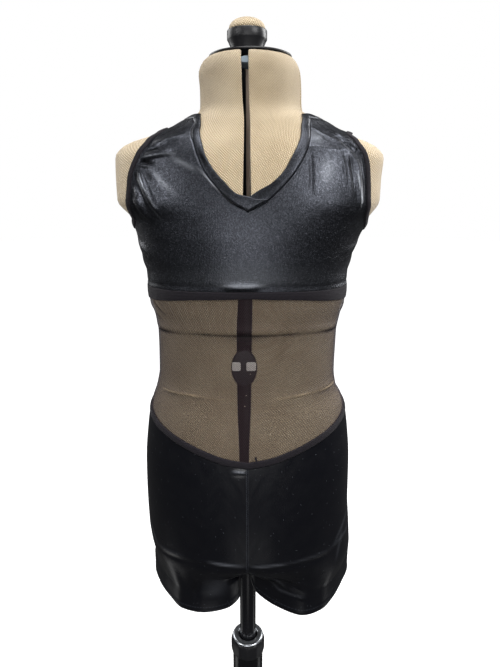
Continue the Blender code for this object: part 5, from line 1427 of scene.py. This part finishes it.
        # The third column is painted shading: painted highlights on ridges and shoulder patches, painted
        # shade in folds.
        flat = np.stack([angle * FLAT_RADIUS, height, BODY.folds(shading_rows, angle, height) / MM], -1)
        quads = grid_faces(*height.shape)[:, :: side.value]
        return [quads, *(sheet.reshape(-1, 3) for sheet in (outer, inner, flat))]

    def panel(self, face: Face, folds: tuple, shading_rows: tuple, cut: tuple[float, float, float]) -> None:
        """A bodice panel from its two halves, welded at the centre below the neck.

        Args:
            face: Front or back.
            folds: Its fold rows.
            shading_rows: Its rows of painted highlight and painted shade.
            cut: Its cut's width, length and area.
        """
        left, right = (self.half(side, face, folds, shading_rows) for side in Side)
        right[0] = right[0] + len(left[1])
        faces, *sheets = merged(1e-6, *(np.concatenate(both) for both in zip(left, right)))
        piece = make_wall(f"bodice_{face.value}_cloth", *sheets, faces, [self.finishes[FinishName.METALLIC]])
        self.sewn(piece, FinishName.METALLIC, f"bodice_{face.value}", cut, shell_names([face]))

    def neckband_rows(self) -> Array:
        """Rows of the neckband's seam and free edge, from its under end round to its over end."""
        left, back_left = neck_table(Side.LEFT, Face.FRONT), neck_table(Side.LEFT, Face.BACK)[::-1]
        whole_turn = np.array([360.0, 0.0, 360.0, 0.0])
        right = neck_table(Side.RIGHT, Face.FRONT)[::-1] + whole_turn
        back_right = neck_table(Side.RIGHT, Face.BACK) + whole_turn
        under, over = np.concatenate([NECK_UNDER_END, left[:1]]), np.concatenate([right[-1:], NECK_OVER_END])
        legs = ((under, 16), (left, 110), (back_left, 60), (back_right, 60), (right, 110), (over, 26))
        paths = [path_at(table, np.linspace(0, 1, count)) for table, count in legs]
        return np.concatenate([path[:-1] for path in paths[:-1]] + paths[-1:])

    def neckband(self) -> None:
        """The crossover neckband: one folded strip whose last end lies over the first.

        Along it run the seam edge and the free edge; across it the lift rises from
        a rounded free edge to a low crown and drops into the seam.
        """
        rows = self.neckband_rows()
        share = np.concatenate([[0, 0.03, 0.08, 0.15], np.linspace(0.24, 0.9, 12), [0.96, 1.0]])
        net = across_rows(rows[:, 2:], rows[:, :2], share)
        angle, height = np.radians(net[..., 0]), net[..., 1]
        lapped = smooth_step(len(rows) - 64.0, len(rows) - 34.0, np.arange(len(rows)))
        low = (CLOTH_CLEAR + lapped * (CLOTH_WALL + self.lap_lift))[:, None]
        bare = BODY.point(angle, height)
        run = along_rows(bare, 1)
        crown = self.neckband_crown * np.sin(math.pi * share) ** 0.7 - rounded_edge(run, self.neckband_edge)
        crown = crown - self.neckband_groove * bell(run[:, -1:] - run, 1.0 * MM)
        top = low + CLOTH_WALL + crown + BODY.folds(NECKBAND_FOLDS, angle, height)
        outer, inner = (BODY.lifted(angle, height, lift) for lift in (np.maximum(top, low + 0.15 * MM), low))
        length = np.broadcast_to(along_rows(bare, 0)[:, share.size // 2, None], run.shape)
        signed = np.where(angle > math.pi, angle - 2 * math.pi, angle)
        # The third column is painted shading: painted shade in the pockets and a painted highlight on one
        # edge, and darker by 0.15 all along.
        flat = np.stack([run, length, BODY.folds(NECKBAND_PAINTED_SHADING, signed, height) / MM - 0.15], -1)
        metallic = [self.finishes[FinishName.METALLIC]]
        piece = make_wall("neckband_cloth", outer, inner, flat, grid_faces(*height.shape), metallic)
        self.sewn(piece, FinishName.METALLIC, "neckband", (0.013, 0.52, 0.0067), self.panels)

    def binding_section(self) -> Array:
        """A binding's section: how far in and how high its outside is, then the same of its inside."""
        over = np.linspace(0.9, BINDING_WIDTH / MM - 1.0, 9) * MM
        end = BINDING_WIDTH - np.array([0.6, 0.25, 0.05, 0.0]) * MM
        far = np.concatenate([over, end])
        low = np.full(len(far), TRIM_LIFT - 0.65 * MM)
        fall = np.concatenate([0 * over, rounded_edge(BINDING_WIDTH - end, 0.7 * MM)])
        top = low + self.binding_wall - fall
        return np.concatenate([np.array(BINDING_WRAP) * MM, np.stack([far, top, far, low], -1)]).T

    def binding(self, side: Side) -> None:
        """The elastic round an armhole: a strip set in from the panels' edge, its edges rounded."""
        steps = np.linspace(0, 1, self.binding_steps + 1)
        path = even_path([ARMHOLES[side, face] for face in Face], steps)[:-1]
        angle, height = np.radians(path[:, 0]), path[:, 1]
        here, up = BODY.point(angle, height), BODY.normal(angle, height)
        ahead = np.roll(here, -1, axis=0) - np.roll(here, 1, axis=0)
        ahead /= np.linalg.norm(ahead, axis=1, keepdims=True)
        inward = (np.cross(ahead, up) * side.value)[:, None]
        across, lift, inner_across, inner_lift = self.binding_section()
        waves = self.binding_waves * ripple(here, 0.012, 11)[:, None] * (across > 0)
        crown = self.binding_crown * np.clip(np.sin(math.pi * across / BINDING_WIDTH), 0, 1)
        start, up = here[:, None], up[:, None]
        outer = start + inward * across[:, None] + up * (lift + crown + waves)[..., None]
        inner = start + inward * inner_across[:, None] + up * inner_lift[:, None]
        flat = np.stack(np.broadcast_arrays(across, along_rows(here, 0)[:, None]), -1)
        faces = grid_faces(*outer.shape[:2], wrap_rows=True)
        word = side.name.lower()
        braid = [self.finishes[FinishName.ELASTIC]]
        piece = make_wall(f"armhole_elastic_{word}", outer, inner, flat, faces, braid)
        self.sewn(piece, FinishName.ELASTIC, f"armhole_binding_{word}", (0.010, 0.40, 0.0025), self.panels)


@dataclass
class Middle(Assembly):
    """The elastic bands and the sheer mesh between them."""

    columns: int = 230
    rows: dict = field(default_factory=lambda: {Face.FRONT: 240, Face.BACK: 110})
    band_steps: int = 361
    band_crown: float = 0.35 * MM
    band_edge: float = 0.8 * MM
    band_waves: float = 0.18 * MM
    mesh_waves: float = 0.2 * MM
    tuck: float = 1.0 * MM

    def build(self) -> None:
        """Makes and places the bands and the mesh panels."""
        self.band("underbust", underbust_edge_low, underbust_edge_top, (0.0165, 0.62, 0.0090))
        self.band("waist", waist_edge, waist_edge_top, (0.010, 0.66, 0.0052))
        self.mesh(Face.FRONT, MIDRIFF_FOLDS + FINE_MESH_FOLDS, (0.30, 0.185, 0.047))
        self.thread_end()
        self.mesh(Face.BACK, MIDRIFF_FOLDS, (0.30, 0.15, 0.0385))

    def band(self, name: str, low_edge: Edge, high_edge: Edge, cut: tuple[float, float, float]) -> None:
        """An elastic band right round the body, its edges rounded.

        Args:
            name: The band's name, which its piece and node begin with.
            low_edge: The lower edge's height at each angle.
            high_edge: The upper edge's height at each angle.
            cut: Width, length and area of its flat cut.
        """
        angle = np.linspace(-math.pi, math.pi, self.band_steps)[:-1, None]
        share = np.concatenate([[0, 0.03, 0.08, 0.14], np.linspace(0.22, 0.78, 9), [0.86, 0.92, 0.97, 1.0]])
        height = low_edge(angle) * (1 - share) + high_edge(angle) * share
        bare = BODY.point(angle, height)
        run = along_rows(bare, 1)
        to_edge = np.minimum(run, run[:, -1:] - run)
        crown = self.band_crown * np.sin(math.pi * share) - rounded_edge(to_edge, self.band_edge)
        crown = crown + self.band_waves * ripple(bare, 0.02, 5)
        lifts = (CLOTH_CLEAR + BAND_WALL + crown, CLOTH_CLEAR)
        outer, inner = (BODY.lifted(angle, height, lift) for lift in lifts)
        flat = np.stack([run, along_rows(bare, 0)], -1)
        faces = grid_faces(*height.shape, wrap_rows=True)
        piece = make_wall(f"{name}_elastic", outer, inner, flat, faces, [self.finishes[FinishName.ELASTIC]])
        self.sewn(piece, FinishName.ELASTIC, f"{name}_band", cut, shell_names())

    def thread_end(self) -> None:
        """The end of the band's thread: a strip 2.2 mm wide that stands 6 mm above its edge."""
        angle, share = np.radians(np.linspace(5.2, 6.5, 5)), np.linspace(0, 1, 9)[:, None]
        height = waist_edge_top(angle) - 1.5 * MM + 7.0 * MM * share + 0.5 * MM * np.sin(6 * share)
        angle = angle + 0.004 * np.sin(5 * share)
        lifts = [CLOTH_CLEAR + BAND_WALL + lift * MM for lift in (0.7, 0.1)]
        outer, inner = (BODY.lifted(angle, height, lift) for lift in lifts)
        flat, faces = np.stack([angle * 0.1, height], -1), grid_faces(*height.shape)
        piece = make_wall("thread_end", outer, inner, flat, faces, [self.finishes[FinishName.ELASTIC]])
        self.settle(piece, BodyName.TORSO, FinishName.ELASTIC)

    def mesh(self, face: Face, folds: tuple, cut: tuple[float, float, float]) -> None:
        """A sheer panel: one sheet of the body's surface with its creases."""
        front = face is Face.FRONT
        degrees = np.linspace(*((-90.0, 90.0) if front else (90.0, 270.0)), self.columns + 1)
        angle, share = np.radians(degrees), np.linspace(0, 1, self.rows[face] + 1)[:, None]
        low, top = waist_edge_top(angle) - self.tuck, underbust_edge_low(angle) + self.tuck
        height = low + (top - low) * share
        rise = BODY.folds(folds, angle, height)
        # Painted shading: from its rows at the front and from the folds' rise at the back, painted highlights
        # on ridges and painted shade in creases.
        tone = BODY.folds(MESH_PAINTED_SHADING, angle, height) / MM if front else 0.4 * rise / MM
        fade = smooth_step(0.0, 0.03, share) * smooth_step(0.0, 0.03, 1 - share)
        fade = fade * smooth_step(0.0, 0.03, np.minimum(angle - angle[0], angle[-1] - angle))
        bare = BODY.point(angle, height)
        rise = np.maximum(rise + self.mesh_waves * ripple(bare, 0.03, 3), -0.8 * MM) * fade
        points = BODY.lifted(angle, height, CLOTH_CLEAR + 0.5 * CLOTH_WALL + rise).reshape(-1, 3)
        flat = np.stack([along_rows(bare, 1), along_rows(bare, 0), tone], -1).reshape(-1, 3)
        yarn = [self.finishes[FinishName.MESH]]
        piece = make_mesh(f"mesh_{face.value}", points, grid_faces(*height.shape), flat, yarn)
        self.sewn(piece, FinishName.MESH, f"midriff_{face.value}", cut, shell_names([face]))


def leg_value(side: Side, name: str, share: Array) -> Array:
    """A column of the leg's table at shares of the way round, in metres."""
    found = smooth_column(LEFT_LEG if side is Side.LEFT else RIGHT_LEG, LEG_COLUMNS.index(name), share)
    return found if name == "hem" else found * MM


def seam_x(y: Array) -> Array:
    """The x of the seam under the form at each y."""
    return smooth_column(SEAM_PLAN, 1, np.asarray(y) / MM) * MM


@dataclass
class Shorts(Assembly):
    """The two halves of the shorts, joined at the centre and the inseam."""

    around: int = 180
    trunk: int = 60
    bend: int = 26
    hem: int = 16
    hem_turn: float = 0.45 * MM
    hem_groove: float = 0.30 * MM
    hem_edge: float = 0.7 * MM
    seam_groove: float = 0.15 * MM
    waves: float = 0.22 * MM

    def build(self) -> None:
        """Makes and places both halves."""
        for side in Side:
            self.half(side)

    def rows_of(self, side: Side, share: Array) -> tuple[Array, Array]:
        """Inner points of one half in rows from the waist to the hem.

        The trunk follows the body; a quarter turn under the form then blends its
        plan into the leg's own loop, (1 - cos s) of the way, while it drops by
        sin s at the centre and evenly at the outside; the leg runs straight down.

        Args:
            side: The wearer's side.
            share: Shares of the way round, from the front centre.

        Returns:
            The points, and how far each one's wall faces down, 0 to 1.
        """
        turn = math.pi * share
        angle = side.value * turn
        waist = waist_edge(angle) - SEAM_GAP
        start = np.where(share < 0.5, CROTCH_START_FRONT, CROTCH_START_BACK)
        turning = TURN_UNDER_SIDE + (start - TURN_UNDER_SIDE) * np.cos(turn) ** 2
        steps = np.linspace(0, 1, self.trunk + 1)[:, None]
        trunk = BODY.lifted(angle, waist + (turning - waist) * steps, CLOTH_CLEAR)
        torso = trunk[-1, :, :2]
        loop = np.stack([leg_value(side, "x", share), leg_value(side, "y", share)], -1)
        near = np.abs(np.cos(turn)) ** 6
        bend = np.linspace(0, 1, self.bend + 1)[1:, None]
        mix = 1 - np.cos(bend * math.pi / 2)
        plan = torso * (1 - mix[..., None]) + loop * mix[..., None]
        straight = loop[0, 0] * np.clip(1 - np.abs(plan[..., 1] / torso[0, 1]), 0, 1)
        plan[..., 0] += (seam_x(plan[..., 1]) + side.value * 1.5 * MM * mix - straight) * near**4
        dip = RIM_DIP_LEFT if side is Side.LEFT else RIM_DIP_RIGHT
        plan[..., 0] -= side.value * dip * np.sin(math.pi * bend) * np.sin(turn) ** 4
        low = turning - (turning - CROTCH_LOW) * np.sin(bend * math.pi / 2)
        outside = turning + (LEG_START - turning) * bend
        under = np.concatenate([plan, (outside + (low - outside) * near)[..., None]], -1)
        last, hem = under[-1, :, 2], leg_value(side, "hem", share)
        down = np.linspace(0, 1, self.hem + 1)[1:, None]
        sides = np.broadcast_to(loop, (self.hem, len(share), 2))
        leg = np.concatenate([sides, (last + (hem - last) * down)[..., None]], -1)
        facing = near * np.sin(bend * math.pi / 2) * np.where(bend > 0.999, 0.5, 1.0)
        level = [np.zeros((rows, len(share))) for rows in (self.trunk + 1, self.hem)]
        return np.concatenate([trunk, under, leg]), np.concatenate([level[0], facing, level[1]])

    def half(self, side: Side) -> None:
        """One half: its inner points, and outer ones a wall further along the normals."""
        ends = np.array([0.0012, 0.003, 0.006, 0.012, 0.020, 0.028])
        share = np.concatenate([[0.0], ends, np.linspace(0.036, 0.964, self.around), 1 - ends[::-1], [1.0]])
        inner, down = self.rows_of(side, share)
        trunk, bent = self.trunk + 1, self.trunk + 1 + self.bend
        inner[:trunk, (0, -1), 0] = side.value * SEAM_GAP / 2
        along = np.gradient(inner[..., :2], axis=1)
        level = np.stack([along[..., 1] * side.value, -along[..., 0] * side.value], -1)
        level /= np.maximum(np.linalg.norm(level, axis=-1, keepdims=True), 1e-9)
        normal = np.concatenate([level * (1 - down[..., None]), -down[..., None]], -1)
        normal /= np.linalg.norm(normal, axis=-1, keepdims=True)
        above_hem = along_rows(inner[::-1], 0)[::-1]
        thick = CLOTH_WALL + self.relief(inner, level, above_hem, share)
        outer = inner + normal * thick[..., None]
        for points in (inner, outer):
            points[bent - 1:, (0, -1)] = points[bent - 1:, (0, -1)].mean(axis=1, keepdims=True)
            limit = seam_x(points[..., 1]) + side.value * SEAM_GAP * 0.6
            keep = np.maximum if side is Side.LEFT else np.minimum
            points[trunk:, :, 0] = keep(points[trunk:, :, 0], limit[trunk:])
        round_way = np.broadcast_to(along_rows(inner[:1], 1), above_hem.shape)
        # Painted shading: painted highlights on the crease ridges and legs, painted shade in the folds.
        tone = self.folds(SHORTS_PAINTED_SHADING, (), inner, level) / MM
        flat = np.stack([round_way, above_hem, tone], -1)
        sheets = [sheet.reshape(-1, 3) for sheet in (outer, inner, flat)]
        faces, *sheets = merged(1e-6, grid_faces(*above_hem.shape), *sheets)
        word = side.name.lower()
        piece = make_wall(f"shorts_cloth_{word}", *sheets, faces, [self.finishes[FinishName.SPANDEX]], 60.0)
        self.sewn(piece, FinishName.SPANDEX, f"shorts_{word}", (0.36, 0.27, 0.085), shell_names(sides=[side]))

    def folds(self, front: tuple, back: tuple, inner: Array, level: Array) -> Array:
        """Summed rise of folds placed by x and height, each seen from its own side.

        Each is rise * exp(-(d / w)^2) * sin(pi s)^0.7, with d the distance to its
        line and s the share of the way along it.
        """
        rise = np.zeros(inner.shape[:-1])
        for face_sign, table in ((-1, front), (1, back)):
            facing = smooth_step(0.05, 0.35, level[..., 1] * face_sign)
            for x_a, z_a, x_b, z_b, half_width, height in table:
                start, way = np.array([x_a, z_a]) * MM, np.array([x_b - x_a, z_b - z_a]) * MM
                off = inner[..., (0, 2)] - start
                part = np.clip((off @ way) / (way @ way), 0, 1)
                away = np.linalg.norm(off - part[..., None] * way, axis=-1)
                fade = np.sin(math.pi * np.clip(part, 0.03, 0.97)) ** 0.7
                rise += height * MM * bell(away, half_width * MM) * fade * facing
        return rise

    def relief(self, inner: Array, level: Array, above_hem: Array, share: Array) -> Array:
        """Rise of the outer face: folds, the turned hem, the centre seam and uneven waves.

        Args:
            inner: The inner points.
            level: Their level outward normals.
            above_hem: How far each is above the hem, along the cloth.
            share: Shares of the way round.

        Returns:
            The rise in metres.
        """
        rise = self.folds(SHORTS_FRONT_FOLDS, SHORTS_BACK_FOLDS, inner, level)
        rise += self.hem_turn * (1 - smooth_step(8.2 * MM, 8.9 * MM, above_hem))
        rise -= self.hem_groove * bell(above_hem - 7.2 * MM, 0.8 * MM)
        rise -= rounded_edge(above_hem, self.hem_edge)
        rise -= self.seam_groove * bell(np.minimum(share, 1 - share) * HIP_LENGTH, 0.5 * MM)
        rise += self.waves * ripple(inner, 0.05, 21)
        return np.maximum(rise, -0.8 * CLOTH_WALL)


# ---------------------------------------------------------------- studio
@dataclass(frozen=True)
class Softbox:
    """One soft light: where it stands, its size in metres and its power in watts."""

    name: str
    place: tuple[float, float, float]
    aim: tuple[float, float, float]
    size: tuple[float, float]
    power: float

    def build(self) -> None:
        """Makes the area light and turns it to its aim."""
        data = bpy.data.lights.new(self.name, "AREA")
        data.shape = "RECTANGLE"
        data.size, data.size_y = self.size
        data.energy = self.power
        light = bpy.data.objects.new(self.name, data)
        way = [a - p for a, p in zip(self.aim, self.place)]
        flat = math.hypot(way[0], way[1])
        light.location = self.place
        light.visible_camera = False
        light.rotation_euler = Euler((math.pi / 2 + math.atan2(way[2], flat), 0, math.atan2(-way[0], way[1])))
        bpy.context.scene.collection.objects.link(light)


@dataclass
class Studio:
    """The camera at the photograph's angle, a pale floor and soft light."""

    place: tuple[float, float, float] = (0.003, -0.590, 1.070)
    pitch: float = 15.5
    focal_pixels: float = 515.0
    frame: tuple[int, int] = (500, 667)

    def build(self) -> None:
        """Makes the camera, the floor and the lights."""
        scene = bpy.context.scene
        data = bpy.data.cameras.new("camera")
        data.sensor_width = 36.0
        data.lens = 36.0 * self.focal_pixels / max(self.frame)
        camera = bpy.data.objects.new("camera", data)
        camera.location = self.place
        camera.rotation_euler = Euler((math.radians(90 - self.pitch), 0.0, 0.0))
        scene.collection.objects.link(camera)
        scene.camera = camera
        scene.view_settings.view_transform = "Standard"
        self.floor()
        self.world()
        for box in self.lights():
            box.build()

    def floor(self) -> None:
        """A wide, plain, pale disc just under the feet."""
        turn = np.linspace(0, 2 * math.pi, 65)[:-1]
        radius = np.array([0.0, 12.0])[:, None]
        grid = np.stack([radius * np.cos(turn), radius * np.sin(turn), np.full((2, 64), -0.2 * MM)], -1)
        quads = grid_faces(2, 64, wrap_columns=True)[:, ::-1]
        faces, points, flat = merged(1e-7, quads, grid.reshape(-1, 3), grid[..., :2].reshape(-1, 2))
        pale = PaleFloor("pale floor", "", "d8d8d8", 0.9).build()
        floor = make_mesh("floor", points, triangles(faces), flat, [pale])
        floor.visible_glossy = False
        floor.visible_diffuse = False

    def world(self) -> None:
        """A white surround for the camera that lights the object only dimly."""
        world = bpy.data.worlds.new("white surround")
        bpy.context.scene.world = world
        world.use_nodes = True
        tree = world.node_tree
        path = add_node(tree, "LightPath")
        glossy = {"Value": path.outputs["Is Glossy Ray"]}
        dim = add_node(tree, "MapRange", {"To Min": 0.16, "To Max": 0.05}, glossy)
        seen = add_node(tree, "MapRange", {"To Max": 1.0},
                        {"Value": path.outputs["Is Camera Ray"], "To Min": dim.outputs[0]})
        tree.links.new(seen.outputs[0], tree.nodes["Background"].inputs["Strength"])
        tree.nodes["Background"].inputs["Color"].default_value = WHITE

    def lights(self) -> list[Softbox]:
        """The softboxes: a key, a fill, overhead, low front, two behind and three by the floor."""
        chest = (0.0, -0.05, 1.05)
        return [
            Softbox("key right", (1.11, -1.07, 1.84), chest, (0.62, 0.75), 13.5),
            Softbox("fill left", (-1.31, -0.94, 1.68), chest, (0.35, 0.70), 7.0),
            Softbox("overhead", (0.10, -0.35, 2.60), chest, (1.2, 1.0), 28.0),
            Softbox("low front", (0.06, -1.70, 0.88), chest, (1.1, 0.42), 5.0),
            Softbox("front strip", (-0.14, -1.70, 1.30), chest, (0.14, 0.6), 3.2),
            Softbox("behind left", (-1.3, 0.9, 1.6), chest, (0.7, 1.4), 14.0),
            Softbox("behind right", (1.3, 0.7, 1.6), chest, (0.7, 1.4), 22.0),
            Softbox("floor", (0.02, -0.86, 0.02), (0.0, -0.10, 0.62), (0.42, 0.12), 0.13),
            Softbox("floor left", (-0.50, 0.05, 0.03), (0.0, 0.0, 0.58), (0.20, 0.26), 0.12),
            Softbox("floor right", (0.50, 0.02, 0.03), (0.0, 0.0, 0.58), (0.16, 0.22), 0.08),
        ]


def main() -> None:
    """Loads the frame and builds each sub-assembly."""
    logging.basicConfig(level=logging.INFO, format="%(message)s")
    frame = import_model()
    finishes = FinishSet()
    for assembly in (DressForm, Stand, Bodice, Middle, Shorts):
        assembly(frame, finishes).build()
    Studio().build()


if __name__ == "__main__":
    main()
